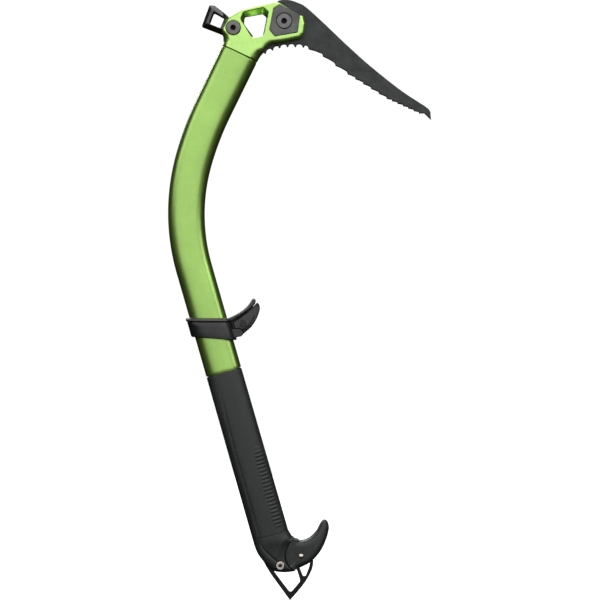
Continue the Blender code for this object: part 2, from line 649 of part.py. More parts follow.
def swept_slot():
    """Space the spike's plate takes up inside the hook as the hook folds by FANG_FOLD."""
    outline = [(-22.0, LUG_RADIUS + 1.0), (0.0, LUG_RADIUS + 1.0)]
    margin = 4.0
    for x, z in reversed(SPIKE_FRONT[1:]):
        reach = math.hypot(x, z) + 0.5
        angle = math.atan2(z, x) + math.radians(FANG_FOLD + margin)
        outline.append((reach * math.cos(angle), reach * math.sin(angle)))
    return outline + [(34.0, 0.0), (30.0, -30.0), (-22.0, -30.0)]


def build_fang(finish, parent):
    """Folding finger hook, forked round the spike's lug."""
    tip_side = smooth(list(reversed(FANG_BACK)) + list(reversed(FANG_FINGER_SIDE)), 3)
    outline = tip_side + knuckle(0, 243)

    def half_at(x, z):
        reach = max(0.0, math.hypot(x, z) - 16.0) / 20.0
        return FANG_HALF - 2.2 * min(1.0, reach)

    bm = prism(outline, -FANG_HALF, FANG_HALF)
    narrow(bm, FANG_HALF, half_at)
    fang = add("fang", bm, finish, parent)
    bevel(fang, 2.2, 2, 50)
    combine(fang, prism(swept_slot(), -FANG_SLOT_HALF, FANG_SLOT_HALF))
    combine(fang, drum(PIN_RADIUS + 0.1, -12, 12))
    return fang


def build_butt_hardware(steel, parent, fang_parent):
    """Pommel bolt and nut, the hook's pin and its two friction washers."""
    socket_bolt("pommel_bolt", steel, parent, POMMEL_BOLT, (3.5, -9.2, -6.6), 1.9, 8.4, (1.8, 1.6))
    ring_nut("pommel_nut", steel, parent, POMMEL_BOLT, 3.5, 2.2, 6.6, 9.0, 6)
    pin = [(0, -FANG_HALF - 0.2), (1.6, -FANG_HALF - 0.2), (PIN_RADIUS, -FANG_HALF + 0.2),
           (PIN_RADIUS, FANG_HALF - 0.2), (1.6, FANG_HALF + 0.2), (0, FANG_HALF + 0.2)]
    add("fang_pin", turned(pin), steel, fang_parent)
    for name, side in (("fang_washer_near", -1), ("fang_washer_far", 1)):
        near, far = sorted((side * (SPIKE_HALF + 0.2), side * (FANG_SLOT_HALF - 0.2)))
        ring_nut(name, steel, fang_parent, (0, 0), 5.0, PIN_RADIUS + 0.15, near, far)


def clear_scene():
    for old in list(bpy.data.objects):
        bpy.data.objects.remove(old, do_unlink=True)


def build_ice_axe():
    green = material("green_anodised", (0.33, 0.56, 0.10), 0.32, 0.85)
    black_steel = material("black_steel", (0.045, 0.045, 0.045), 0.48, 0.7)
    grey_steel = material("grey_steel", (0.13, 0.13, 0.13), 0.42, 0.7)
    bright_steel = material("bright_steel", (0.45, 0.43, 0.42), 0.30, 1.0)
    bolt_steel = material("bolt_steel", (0.20, 0.19, 0.19), 0.40, 0.8)
    rubber = material("grip_rubber", (0.028, 0.030, 0.030), 0.70, 0.0)
    nylon = material("black_nylon", (0.035, 0.036, 0.038), 0.50, 0.0)
    alloy = material("plain_alloy", (0.55, 0.55, 0.56), 0.45, 0.9)

    head_group = group("head_group", PICK_BOLT)
    butt_group = group("butt_group", FANG_PIN)
    fang_axis = group("fang_axis", FANG_PIN)
    slider = group("strike_slider", LEVER_PIN)
    lever_axis = group("strike_lever_axis", LEVER_PIN, slider)

    build_shaft(green)
    build_grip(rubber)
    build_head(green, head_group)
    build_pick(black_steel, head_group)
    build_pick_clamp(grey_steel, bolt_steel, head_group)
    build_hammer(black_steel, bolt_steel, head_group)
    build_collar(nylon, slider)
    build_lever(nylon, bolt_steel, lever_axis)
    build_end_block(alloy, butt_group)
    build_pommel(nylon, butt_group)
    build_spike(black_steel, butt_group)
    build_fang(nylon, fang_axis)
    build_butt_hardware(bright_steel, butt_group, fang_axis)
    bpy.context.view_layer.update()


clear_scene()
build_ice_axe()
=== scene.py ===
"""Looks of the ice axe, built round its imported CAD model.

Shapes are in millimetres in the CAD model's frame and become metres when a mesh is made.
The tool stands in the XZ plane: +Z is up, +X is the pick's side and -Y is the near side.
"""

from math import atan2, ceil, copysign, cos, exp, hypot, pi, radians, sin, tan

import bmesh
import bpy
import numpy as np
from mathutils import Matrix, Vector
from mathutils.geometry import delaunay_2d_cdt


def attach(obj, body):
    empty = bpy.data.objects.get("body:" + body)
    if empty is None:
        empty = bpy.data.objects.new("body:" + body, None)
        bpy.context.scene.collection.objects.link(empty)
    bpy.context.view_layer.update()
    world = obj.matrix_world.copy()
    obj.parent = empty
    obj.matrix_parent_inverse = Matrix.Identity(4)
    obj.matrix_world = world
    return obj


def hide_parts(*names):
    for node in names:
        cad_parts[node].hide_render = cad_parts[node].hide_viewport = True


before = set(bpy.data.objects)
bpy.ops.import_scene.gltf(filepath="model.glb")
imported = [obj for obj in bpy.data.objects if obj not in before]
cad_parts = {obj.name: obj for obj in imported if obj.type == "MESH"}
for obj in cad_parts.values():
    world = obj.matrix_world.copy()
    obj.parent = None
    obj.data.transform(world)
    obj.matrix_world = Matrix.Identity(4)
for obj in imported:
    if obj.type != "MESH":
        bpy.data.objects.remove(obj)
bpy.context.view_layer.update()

MM = 0.001

# Shaft centreline, measured along it from the middle of the grip, upwards.
LEAN = radians(16.0)
GRIP_TOP = 70.6
GRIP_BOTTOM = -70.6
SHAFT_BOTTOM = -77.0
BEND_START = 160.4
BENDS = ((166.5, radians(32.0)), (268.0, radians(9.8)))  # radius, turn
NECK_LENGTH = 49.6
SHAFT_TOP = BEND_START + sum(radius * turn for radius, turn in BENDS) + NECK_LENGTH
OVAL_POWER = 2.7
HALF_WIDTH = 15.1
HALF_DEPTH = 10.0
HEAD_HALF_WIDTH = 16.1
HEAD_HALF_DEPTH = 10.5
WIDENING_START = 130.0
WALL = 1.8
GRIP_STEP = 1.6
SEAM_LIP = 0.3

# Reference points in the XZ plane.
PICK_BOLT = (31.1, 359.9)
HAMMER_BOLT = (PICK_BOLT[0] - 42.4, PICK_BOLT[1] - 5.6)
FANG_PIN = (45.2, -85.3)
POMMEL_BOLT = (FANG_PIN[0] - 17.3, FANG_PIN[1] - 7.8)
LEVER_PIN = (-6.5, 100.5)


# -------- outlines

def at(centre, points):
    """Shift points, given from a reference point, into the frame; extra values stay."""
    return [(centre[0] + p[0], centre[1] + p[1], *p[2:]) for p in points]


def arc(centre, radius, start, end, steps):
    """Points on an arc, angles in degrees."""
    points = []
    for i in range(steps + 1):
        angle = radians(start + (end - start) * i / steps)
        points.append((centre[0] + radius * cos(angle), centre[1] + radius * sin(angle)))
    return points


def circle(centre, radius, sides=72):
    return arc(centre, radius, 0, 360 * (sides - 1) / sides, sides - 1)


def filleted(corners, radius=1.0, steps=7):
    """Round the corners of a closed outline; a corner may carry its own radius."""
    outline = []
    count = len(corners)
    for i, corner in enumerate(corners):
        here = Vector(corner[:2])
        before = Vector(corners[i - 1][:2]) - here
        after = Vector(corners[(i + 1) % count][:2]) - here
        size = corner[2] if len(corner) > 2 else radius
        half = before.angle(after) / 2
        if size == 0 or half > radians(89):
            outline.append(tuple(here))
            continue
        reach = min(size / tan(half), 0.47 * before.length, 0.47 * after.length)
        start = here + before.normalized() * reach
        end = here + after.normalized() * reach
        for k in range(steps + 1):
            t = k / steps
            point = start * (1 - t) ** 2 + here * 2 * t * (1 - t) + end * t ** 2
            outline.append(tuple(point))
    return outline


def smooth(points, steps=8):
    """Open Catmull-Rom curve through the given points."""
    padded = [points[0]] + list(points) + [points[-1]]
    curve = []
    for a, b, c, d in zip(padded, padded[1:], padded[2:], padded[3:]):
        for k in range(steps):
            t = k / steps
            curve.append(tuple(
                0.5 * (2 * q + (r - p) * t + (2 * p - 5 * q + 4 * r - s) * t * t
                       + (3 * q - p - 3 * r + s) * t ** 3)
                for p, q, r, s in zip(a, b, c, d)))
    curve.append(tuple(points[-1]))
    return curve


def station(s):
    """Point on the centreline and its backward lean, s along it from the grip's middle."""
    if s <= BEND_START:
        return -s * sin(LEAN), s * cos(LEAN), LEAN
    x, z, lean = station(BEND_START)
    left = s - BEND_START
    for radius, turn in BENDS:
        angle = min(left / radius, turn)
        x += radius * (cos(lean) - cos(lean - angle))
        z += radius * (sin(lean) - sin(lean - angle))
        lean -= angle
        left -= angle * radius
    return x - left * sin(lean), z + left * cos(lean), lean


def along_grip(s, t):
    """XZ point at s along the straight lower shaft and t forward of its centreline."""
    return (t * cos(LEAN) - s * sin(LEAN), s * cos(LEAN) + t * sin(LEAN))


def oval_point(i, sides, half_width, half_depth):
    """Point i on the shaft's oval section, across and through it."""
    angle = 2 * pi * i / sides
    c, n = cos(angle), sin(angle)
    return (half_width * copysign(abs(c) ** (2 / OVAL_POWER), c),
            half_depth * copysign(abs(n) ** (2 / OVAL_POWER), n))


def shaft_half_sizes(s):
    share = max(0.0, (s - WIDENING_START) / (SHAFT_TOP - WIDENING_START)) ** 1.5
    return (HALF_WIDTH + (HEAD_HALF_WIDTH - HALF_WIDTH) * share,
            HALF_DEPTH + (HEAD_HALF_DEPTH - HALF_DEPTH) * share)


def eased(value, start, end):
    """0 before start, 1 after end and smooth in between."""
    share = min(1.0, max(0.0, (value - start) / (end - start)))
    return share * share * (3 - 2 * share)


def meeting_oval(thick, gap, away, blend, half_width, half_depth):
    """Half thickness that follows the shaft's oval at a seam and leaves it over the blend.

    gap is the distance to the outline's sides and away the distance from the seam.
    """
    share = 1 - eased(away, *blend)
    ratio = max(0.0, 1 - gap / half_width)
    oval_half = half_depth * (1 - ratio ** OVAL_POWER) ** (1 / OVAL_POWER)
    lip = SEAM_LIP * (1 - min(1.0, max(0.0, away) / SEAM_LIP)) ** 2
    return thick * (1 - share) + (oval_half - lip) * share


# -------- meshes

def turned_to(points, anticlockwise):
    """The same closed outline, turning the way that is asked for."""
    area = sum(a[0] * b[1] - b[0] * a[1] for a, b in zip(points, points[1:] + points[:1]))
    return list(points) if (area > 0) == anticlockwise else list(reversed(points))


def densified(points, step, closed=True):
    """Split long segments, and leave out points closer together than a tenth of the step."""
    rows = list(zip(points, points[1:] + points[:1])) if closed else list(zip(points, points[1:]))
    dense = []
    for a, b in rows:
        length = hypot(b[0] - a[0], b[1] - a[1])
        if length < 0.1 * step:
            continue
        count = max(1, ceil(length / step))
        dense += [(a[0] + (b[0] - a[0]) * k / count, a[1] + (b[1] - a[1]) * k / count)
                  for k in range(count)]
    if not closed:
        dense.append(tuple(points[-1][:2]))
    return np.array(dense)


def distance(points, line, closed=True):
    """Distance from each point to a polyline."""
    starts = line if closed else line[:-1]
    ends = np.roll(line, -1, 0) if closed else line[1:]
    best = np.full(len(points), 1e9)
    for k in range(0, len(points), 2000):
        block = points[k:k + 2000, None, :]
        run = ends - starts
        share = ((block - starts) * run).sum(2) / np.maximum((run * run).sum(1), 1e-12)
        nearest = starts + np.clip(share, 0, 1)[..., None] * run
        best[k:k + 2000] = np.sqrt(((block - nearest) ** 2).sum(2)).min(1)
    return best


def inside(points, line):
    """Whether each point is inside a closed polyline."""
    x, z = points[:, :1], points[:, 1:]
    x0, z0 = line[:, 0], line[:, 1]
    x1, z1 = np.roll(x0, -1), np.roll(z0, -1)
    rise = np.where(z1 == z0, 1e-12, z1 - z0)
    crossing = ((z0 > z) != (z1 > z)) & (x < (x1 - x0) * (z - z0) / rise + x0)
    return crossing.sum(1) % 2 == 1


def offset_ring(line, amounts, closed=True):
    """Move each point of a polyline to its left by its amount."""
    if closed:
        before, after = line - np.roll(line, 1, 0), np.roll(line, -1, 0) - line
    else:
        after = np.vstack([line[1:] - line[:-1], line[-1:] - line[-2:-1]])
        before = np.vstack([after[:1], after[:-1]])
    left_a = np.stack([-before[:, 1], before[:, 0]], 1)
    left_b = np.stack([-after[:, 1], after[:, 0]], 1)
    left_a /= np.linalg.norm(left_a, axis=1)[:, None] + 1e-12
    left_b /= np.linalg.norm(left_b, axis=1)[:, None] + 1e-12
    mean = left_a + left_b
    mean /= np.linalg.norm(mean, axis=1)[:, None] + 1e-12
    spread = np.maximum((mean * left_a).sum(1), 0.35)
    return line + mean * (np.asarray(amounts) / spread)[:, None]


def add_object(name, data):
    made = bpy.data.objects.new(name, data)
    bpy.context.scene.collection.objects.link(made)
    return made


def show_smooth(mesh):
    """Smooth shading except at sharp edges."""
    mesh.shade_smooth()
    mesh.set_sharp_from_angle(angle=radians(34))


def make_object(name, vertices, faces):
    """Mesh object from millimetre vertices, smooth except at sharp edges."""
    mesh = bpy.data.meshes.new(name)
    mesh.from_pydata([tuple(c * MM for c in v) for v in vertices], [], [tuple(f) for f in faces])
    bm = bmesh.new()
    bm.from_mesh(mesh)
    bmesh.ops.remove_doubles(bm, verts=bm.verts, dist=2e-6)
    bmesh.ops.recalc_face_normals(bm, faces=bm.faces)
    bm.to_mesh(mesh)
    bm.free()
    show_smooth(mesh)
    return add_object(name, mesh)


RING_SHARES = (0.06, 0.2, 0.4, 0.65, 1.0, 1.15)
GROOVE_SHARES = (-1.0, -0.6, -0.3, 0.0, 0.3, 0.6, 1.0)
CLEAR = 0.03


def rounded(gap, width, drop):
    """How far a rounded edge falls below the face, at a distance from the edge."""
    share = np.clip(gap / np.maximum(width, 1e-6), 0, 1)
    return drop * (1 - np.sqrt(np.clip(1 - (1 - share) ** 2, 0, 1)))


def chamfered(gap, width, drop):
    """As rounded, for a flat bevel with a small round at its foot."""
    return drop * (1 - np.clip(gap / width, 0, 1)) + rounded(gap, 0.3, 0.3)


def nearest(points, lines):
    """Distance to the closest of several open lines."""
    return np.min([distance(points, line, False) for line in lines], axis=0)


def outline_of(centre, corners, radius=1.0):
    """Closed outline with rounded corners, given from a reference point."""
    return filleted(at(centre, corners), radius)


def sampled(given, points):
    """Values at points, from a number or from a function of x and z."""
    return np.array([given(x, z) if callable(given) else given for x, z in points], float)


def relief(name, outer, holes=(), half=5.0, edge=(1.0, 1.0), hole_edge=None, pockets=(), grooves=(),
           step=0.7, grid=2.5, back=None, shape=None, soft=None, profile=rounded):
    """Plate-like solid: an XZ outline whose half thickness varies over it.

    edge is (width, drop) of the rounding, or a function of x and z giving the width.
    soft lists open lines, for an outline that is rounded along those only.
    pockets are (outline, floor level); grooves are (open line, half width, depth).
    back is the level of a flat far face, or None where it mirrors the near face.
    shape(points, half) may change the half thickness at the end.
    """
    rim = densified(turned_to(outer, True), step)
    rings = [densified(turned_to(hole, False), step) for hole in holes]
    hole_edge = hole_edge or (edge if not callable(edge[0]) else (1.0, edge[1]))

    points, links = [], []

    def add_line(line, wanted=None, closed=True):
        """Add a mesh line where it is far enough from every edge."""
        keep = np.ones(len(line), bool) if wanted is None else far_enough(line, wanted)
        index = {}
        for i, (p, kept) in enumerate(zip(line, keep)):
            if kept:
                index[i] = len(points)
                points.append(tuple(p))
        count = len(line)
        for i in index:
            j = (i + 1) % count
            if j in index and (closed or j > i):
                links.append((index[i], index[j]))

    def far_enough(line, wanted):
        gap = np.min([distance(line, loop) for loop in [rim] + rings], axis=0)
        keep = inside(line, rim) & (gap > np.asarray(wanted) - 0.02)
        for ring in rings:
            keep &= ~inside(line, ring)
        return keep

    for loop, widths in [(rim, sampled(edge[0], rim))] + [(r, sampled(hole_edge[0], r)) for r in rings]:
        add_line(loop)
        for share in RING_SHARES:
            line = offset_ring(loop, widths * share)
            add_line(line, widths * share)
    dense_pockets = [(densified(turned_to(line, True), step), floor) for line, floor in pockets]
    for line, _ in dense_pockets:
        for amount in (-0.3, -0.12, 0.0, 0.14):
            add_line(offset_ring(line, amount), CLEAR)
    dense_grooves = [(densified(line, step, False), half_width, deep) for line, half_width, deep in grooves]
    for line, half_width, _ in dense_grooves:
        for share in GROOVE_SHARES:
            add_line(offset_ring(line, share * half_width, False), CLEAR, False)

    low, high = rim.min(0), rim.max(0)
    filling = []
    row = 0
    z = low[1]
    while z < high[1]:
        filling += [(x, z) for x in np.arange(low[0] + (row % 2) * grid / 2, high[0], grid)]
        z += grid * 0.87
        row += 1
    filling = np.array(filling)
    filling = filling[far_enough(filling, 0.35 * grid)]
    placed = np.array(points)
    for p in filling:
        if np.min(np.abs(placed - p).sum(1)) > 0.35 * grid:
            points.append(tuple(p))

    out = delaunay_2d_cdt([Vector(p) for p in points], links, [], 0, 1e-5)
    flat = np.array([tuple(v) for v in out[0]])
    triangles = np.array([f for f in out[2]])
    centres = flat[triangles].mean(1)
    keep = inside(centres, rim)
    for ring in rings:
        keep &= ~inside(centres, ring)
    triangles = triangles[keep]

    thick = sampled(half, flat)
    gap = nearest(flat, [densified(line, step, False) for line in soft]) if soft else distance(flat, rim)
    thick -= profile(gap, sampled(edge[0], flat), edge[1])
    for ring in rings:
        thick -= rounded(distance(flat, ring), hole_edge[0], hole_edge[1])
    for line, floor in dense_pockets:
        gap = distance(flat, line) * np.where(inside(flat, line), 1, -1)
        thick -= 0.12 * np.clip((gap + 0.3) / 0.3, 0, 1) ** 2
        share = np.clip(gap / 0.13, 0, 1)
        thick = np.where(share > 0, thick + (np.minimum(floor, thick) - thick) * share, thick)
    for line, half_width, deep in dense_grooves:
        share = np.clip(distance(flat, line, False) / half_width, 0, 1)
        thick -= deep * (1 - share ** 2) ** 2
    if shape:
        thick = shape(flat, thick)

    count = len(flat)
    far = thick if back is None else np.full(count, back)
    vertices = [(x, -y, z) for (x, z), y in zip(flat, thick)] + [(x, y, z) for (x, z), y in zip(flat, far)]
    faces = [tuple(t) for t in triangles] + [tuple(t[::-1] + count) for t in triangles]
    sides = {}
    for a, b, c in triangles:
        for i, j in ((a, b), (b, c), (c, a)):
            sides[(i, j)] = sides.get((i, j), 0) + 1
    faces += [(j, i, i + count, j + count) for i, j in sides if (j, i) not in sides]
    return make_object(name, vertices, faces)


def oval_ring(s, inset=0.0, sides=128, bump=None):
    """Ring of the shaft's section at s; bump(s, across, depth) moves a point outwards."""
    x, z, lean = station(s)
    half_width, half_depth = shaft_half_sizes(s)
    ring = []
    for i in range(sides):
        across, depth = oval_point(i, sides, half_width - inset, half_depth - inset)
        if bump:
            out = bump(s, across, depth)
            reach = hypot(across / half_width, depth / half_depth)
            across += out * across / half_width / reach
            depth += out * depth / half_depth / reach
        ring.append((x + across * cos(lean), depth, z + across * sin(lean)))
    return ring


def loft(name, rings, looped=True):
    """Skin of quads over equal rings; a looped stack closes on itself, another is capped."""
    sides = len(rings[0])
    vertices = [p for ring in rings for p in ring]
    faces = []
    count = len(rings)
    for r in range(count if looped else count - 1):
        low, high = r * sides, (r + 1) % count * sides
        for i in range(sides):
            j = (i + 1) % sides
            faces.append((low + i, low + j, high + j, high + i))
    if not looped:
        faces += [tuple(range(sides)), tuple(range((count - 1) * sides, count * sides))]
    return make_object(name, vertices, faces)


def turned(name, profile, centre, sides=64):
    """Turn (radius, y) points about an axis along Y; the profile closes on itself."""
    rings = [[(centre[0] + radius * cos(a), y, centre[1] + radius * sin(a))
              for a in (2 * pi * i / sides for i in range(sides))] for radius, y in profile]
    return loft(name, rings)


def hexagon(centre, radius, turn=0.0):
    return arc(centre, radius, turn, turn + 300, 5)


def mirrored(piece):
    """Turn a near-side piece into its far-side twin."""
    for vertex in piece.data.vertices:
        vertex.co.y *= -1
    piece.data.flip_normals()
    return piece


def joined(name, parts):
    """Put the meshes of several objects in the first one."""
    bm = bmesh.new()
    for part in parts:
        bm.from_mesh(part.data)
    bm.to_mesh(parts[0].data)
    bm.free()
    for part in parts[1:]:
        bpy.data.objects.remove(part, do_unlink=True)
    parts[0].name = name
    show_smooth(parts[0].data)
    return parts[0]


def cut(piece, *tools):
    """Take helper solids out of a piece for good."""
    for tool in tools:
        modifier = piece.modifiers.new("cut", "BOOLEAN")
        modifier.operation = "DIFFERENCE"
        modifier.solver = "EXACT"
        modifier.object = tool
    graph = bpy.context.evaluated_depsgraph_get()
    mesh = bpy.data.meshes.new_from_object(piece.evaluated_get(graph))
    piece.modifiers.clear()
    piece.data = mesh
    show_smooth(mesh)
    for tool in tools:
        bpy.data.objects.remove(tool, do_unlink=True)
    return piece


def block(outline, half):
    """Helper solid: an XZ outline extruded to both sides."""
    rings = [[(x, y, z) for x, z in outline] for y in (-half, half)]
    return loft("helper", rings, looped=False)


# -------- materials

class Finish:
    """A Principled material with small helpers for its node tree."""

    def __init__(self, name, colour, roughness, metallic, **fixed):
        self.material = bpy.data.materials.new(name)
        self.material.use_nodes = True
        self.tree = self.material.node_tree
        self.shader = self.tree.nodes["Principled BSDF"]
        self.shader.inputs["Base Color"].default_value = (*colour, 1)
        self.shader.inputs["Roughness"].default_value = roughness
        self.shader.inputs["Metallic"].default_value = metallic
        for key, value in fixed.items():
            self.shader.inputs[key.replace("_", " ")].default_value = value
        self.place = self.tree.nodes.new("ShaderNodeTexCoord").outputs["Object"]
        self.roughness = roughness
        self.height = None

    def node(self, kind, inputs=(), **settings):
        made = self.tree.nodes.new("ShaderNode" + kind)
        for key, value in settings.items():
            setattr(made, key, value)
        for key, value in dict(inputs).items():
            if isinstance(value, bpy.types.NodeSocket):
                self.tree.links.new(value, made.inputs[key])
            else:
                made.inputs[key].default_value = value
        return made

    def noise(self, size_mm, detail=2.0, stretch=None):
        """Noise between 0 and 1 whose grains are about size_mm across."""
        place = self.place
        if stretch:
            scale, turn = stretch
            place = self.node("Mapping", {"Vector": place, "Scale": scale, "Rotation": turn}).outputs[0]
        made = self.node("TexNoise", {"Vector": place, "Scale": 1 / (size_mm * MM), "Detail": detail})
        return made.outputs["Fac"]

    def spread(self, value, low, high, start=0.3, end=0.7):
        """Map a 0 to 1 value to a range."""
        limits = {"From Min": start, "From Max": end, "To Min": low, "To Max": high}
        return self.node("MapRange", {"Value": value, **limits}).outputs[0]

    def product(self, first, second):
        return self.node("Math", {0: first, 1: second}, operation="MULTIPLY").outputs[0]

    def colours(self, value, first, second, start=0.3, end=0.7):
        """Colour that runs from first to second with a 0 to 1 value."""
        ramp = self.node("ValToRGB", {"Fac": value})
        ramp.color_ramp.elements[0].position, ramp.color_ramp.elements[1].position = start, end
        ramp.color_ramp.elements[0].color = (*first, 1)
        ramp.color_ramp.elements[1].color = (*second, 1)
        return ramp.outputs["Color"]

    def mix(self, value, first, second):
        """Blend of two colour sockets or colours."""
        first, second = (given if isinstance(given, bpy.types.NodeSocket) else (*given, 1)
                         for given in (first, second))
        return self.node("Mix", {0: value, 6: first, 7: second}, data_type="RGBA").outputs[2]

    def edges(self, start=0.52, end=0.62):
        """1 on convex edges of the mesh, 0 on its faces."""
        geometry = self.node("NewGeometry")
        return self.spread(geometry.outputs["Pointiness"], 0, 1, start, end)

    def link(self, socket, name):
        self.tree.links.new(socket, self.shader.inputs[name])

    def bump(self, value, depth_mm, strength=1.0):
        """Add a layer of bump under the ones already there."""
        inputs = {"Height": value, "Distance": depth_mm * MM, "Strength": strength}
        if self.height:
            inputs["Normal"] = self.height
        self.height = self.node("Bump", inputs).outputs["Normal"]
        self.link(self.height, "Normal")


    def dress(self, colour, grain, less, more, *bumps):
        """Set the colour, let the roughness follow a grain, and stack bumps on each other."""
        self.link(colour, "Base Color")
        self.link(self.spread(grain, self.roughness - less, self.roughness + more), "Roughness")
        for height, depth_mm, strength in bumps:
            self.bump(height, depth_mm, strength)
        return self.material


def scaled(colour, factor):
    return tuple(c * factor for c in colour)


def anodised(name, colour, roughness, pale_edges_from, **fixed):
    """Satin anodised alloy: fine blasted grain under a clear layer.

    The fourth argument is the pointiness from which edges turn pale, as rubbed bare metal and as painted
    sheen; no edge reaches 0.8, the value given to the shaft.
    """
    finish = Finish(name, colour, roughness, metallic=0.88, **fixed)
    cloud = finish.noise(24, 2)
    grain = finish.noise(0.45, 3)
    base = finish.colours(cloud, scaled(colour, 0.93), scaled(colour, 1.07))
    worn = tuple(min(1.0, c * 1.25 + 0.03) for c in colour)
    patchy = finish.mix(finish.spread(finish.noise(3, 3), 0, 0.16, 0.45, 0.75), base, worn)
    # Pale colour on convex edges: rubbed bare metal and painted sheen.
    bare_and_sheen = tuple(0.45 + 0.6 * c for c in colour)
    rubbed = finish.product(finish.edges(pale_edges_from, pale_edges_from + 0.12), 0.65)
    return finish.dress(finish.mix(rubbed, patchy, bare_and_sheen), grain, 0.05, 0.07,
                        (grain, 0.02, 0.35), (finish.noise(5, 2), 0.04, 0.25))


def coated_steel(name, colour, roughness, metallic=0.75, wear=0.5, **fixed):
    """Steel with a dark baked coat, rubbed brighter on its edges and lightly brushed."""
    finish = Finish(name, colour, roughness, metallic, **fixed)
    cloud = finish.noise(9, 4)
    brushed = finish.noise(0.5, 3, ((1, 1, 7), (0, radians(38), 0)))
    base = finish.colours(cloud, scaled(colour, 0.8), scaled(colour, 1.25))
    bright = tuple(min(1.0, c * 3.2 + 0.02) for c in colour)
    rubbed = finish.product(finish.edges(), finish.spread(finish.noise(2.2, 4), 0, wear))
    return finish.dress(finish.mix(rubbed, base, bright), brushed, 0.07, 0.1,
                        (brushed, 0.02, 0.4), (finish.noise(0.7, 2), 0.03, 0.3))


def machined(name, colour, roughness):
    """Turned and plated steel for bolts, nuts and pins."""
    finish = Finish(name, colour, roughness, 1.0)
    fine = finish.noise(0.35, 3)
    base = finish.colours(finish.noise(4, 3), scaled(colour, 0.85), scaled(colour, 1.15))
    return finish.dress(base, fine, 0.06, 0.1, (fine, 0.015, 0.4))


def moulded(name, colour, roughness, grain_mm=0.5, depth_mm=0.05, highlight_amount=0.06, **fixed):
    """Moulded plastic or rubber: fine grain, soft cloudiness, a little dust in patches and a painted
    highlight on its convex edges.
    """
    finish = Finish(name, colour, roughness, 0.0, **fixed)
    cells = finish.node("TexVoronoi", {"Vector": finish.place, "Scale": 1 / (grain_mm * MM)},
                        feature="SMOOTH_F1").outputs["Distance"]
    cloud = finish.noise(14, 3)
    base = finish.colours(cloud, scaled(colour, 0.82), scaled(colour, 1.2))
    dusty = tuple(c * 1.5 + 0.012 for c in colour)
    patchy = finish.mix(finish.spread(finish.noise(1.6, 4), 0, 0.3, 0.5, 0.8), base, dusty)
    # Painted highlight: convex edges get a paler colour, as if light caught them.
    edge_highlight = tuple(c + highlight_amount for c in colour)
    return finish.dress(finish.mix(finish.edges(0.54, 0.64), patchy, edge_highlight), cloud, 0.05, 0.06,
                        (cells, depth_mm, 0.45), (finish.noise(0.25, 2), 0.02, 0.3))


GREEN = (0.25, 0.44, 0.075)
NO_PALE_EDGES = 0.8
COAT = {"Coat_Weight": 1.0, "Coat_Roughness": 0.3}
FINISHES = {
    "green_anodised": anodised("shaft_green", GREEN, 0.32, NO_PALE_EDGES, Coat_IOR=1.55, **COAT),
    # The head is a lighter copy of the shaft's green with pale edges: painted sheen.
    "green_forging": anodised("head_green_painted_sheen", scaled(GREEN, 1.35), 0.30, 0.54, Coat_IOR=1.8, **COAT),
    "black_steel": coated_steel("pick_black", (0.038, 0.039, 0.040), 0.46),
    "grey_steel": coated_steel("plate_grey", (0.105, 0.105, 0.103), 0.44, 0.8, 0.35),
    "bolt_steel": machined("bolt_grey", (0.135, 0.13, 0.128), 0.36),
    "bright_steel": machined("bolt_bright", (0.62, 0.58, 0.51), 0.28),
    "plain_alloy": machined("block_alloy", (0.55, 0.55, 0.56), 0.42),
    "black_nylon": moulded("trigger_nylon", (0.010, 0.0105, 0.011), 0.38, 0.4, 0.04, 0.05),
    "grip_rubber": moulded("grip_rubber", (0.019, 0.021, 0.021), 0.52, 0.55, 0.06),
    "hammer_steel": coated_steel("hammer_black", (0.024, 0.024, 0.024), 0.36,
                                 Coat_Weight=1.0, Coat_Roughness=0.25),
    "spike_steel": coated_steel("spike_black", (0.018, 0.018, 0.018), 0.44),
}
# Pale nylon for the collar's lip crest and the tongue's up-facing top: painted highlight.
NYLON_HIGHLIGHT = moulded("nylon_painted_highlight", (0.13, 0.135, 0.12), 0.3)
# Near-black finish inside bolt sockets: painted shade in the recess.
SOCKET_SHADE = coated_steel("socket_painted_shade", (0.006, 0.006, 0.006), 0.7, 0.2)


def place(piece, slot, body, *nodes, finish=None):
    """Give a piece its finish, its body and the CAD nodes that it stands for."""
    piece.data.materials.clear()
    piece.data.materials.append(FINISHES[finish or slot])
    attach(piece, body)
    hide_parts(*nodes)
    return piece


# -------- shaft and grip

def build_shaft():
    """Bent tube with softened rims, reduced under the grip."""
    edge, pitch = 0.9, 2.0
    count = int((SHAFT_TOP - GRIP_TOP - 2 * edge) / pitch) + 1
    steps = [GRIP_TOP + edge + pitch * k for k in range(count)]
    rings = [oval_ring(SHAFT_BOTTOM, GRIP_STEP), oval_ring(GRIP_TOP, GRIP_STEP)]
    rings += [oval_ring(GRIP_TOP, 0.5), oval_ring(GRIP_TOP + 0.2, 0.15)]
    rings += [oval_ring(s) for s in steps]
    rings += [oval_ring(SHAFT_TOP - edge - 0.1), oval_ring(SHAFT_TOP - edge, 0.05)]
    rings += [oval_ring(SHAFT_TOP - 0.1, 0.85), oval_ring(SHAFT_TOP, 1.0)]
    inner = [oval_ring(SHAFT_TOP, WALL)] + [oval_ring(s, WALL) for s in reversed(steps[5::4])]
    inner += [oval_ring(GRIP_TOP - 4, WALL + GRIP_STEP), oval_ring(SHAFT_BOTTOM, WALL + GRIP_STEP)]
    return place(loft("shaft_tube", rings + inner), "green_anodised", "axe", "shaft")


RIDGE_PITCH = 3.2
RIDGE_TOP = 4.0
RIDGE_BOTTOM = -66.0
RIDGE_MIDDLE = 9.6
RIDGE_HALF = 4.2
RIDGE_HEIGHT = 0.75
GRIP_SIDES = 176
GRIP_ROWS = 330


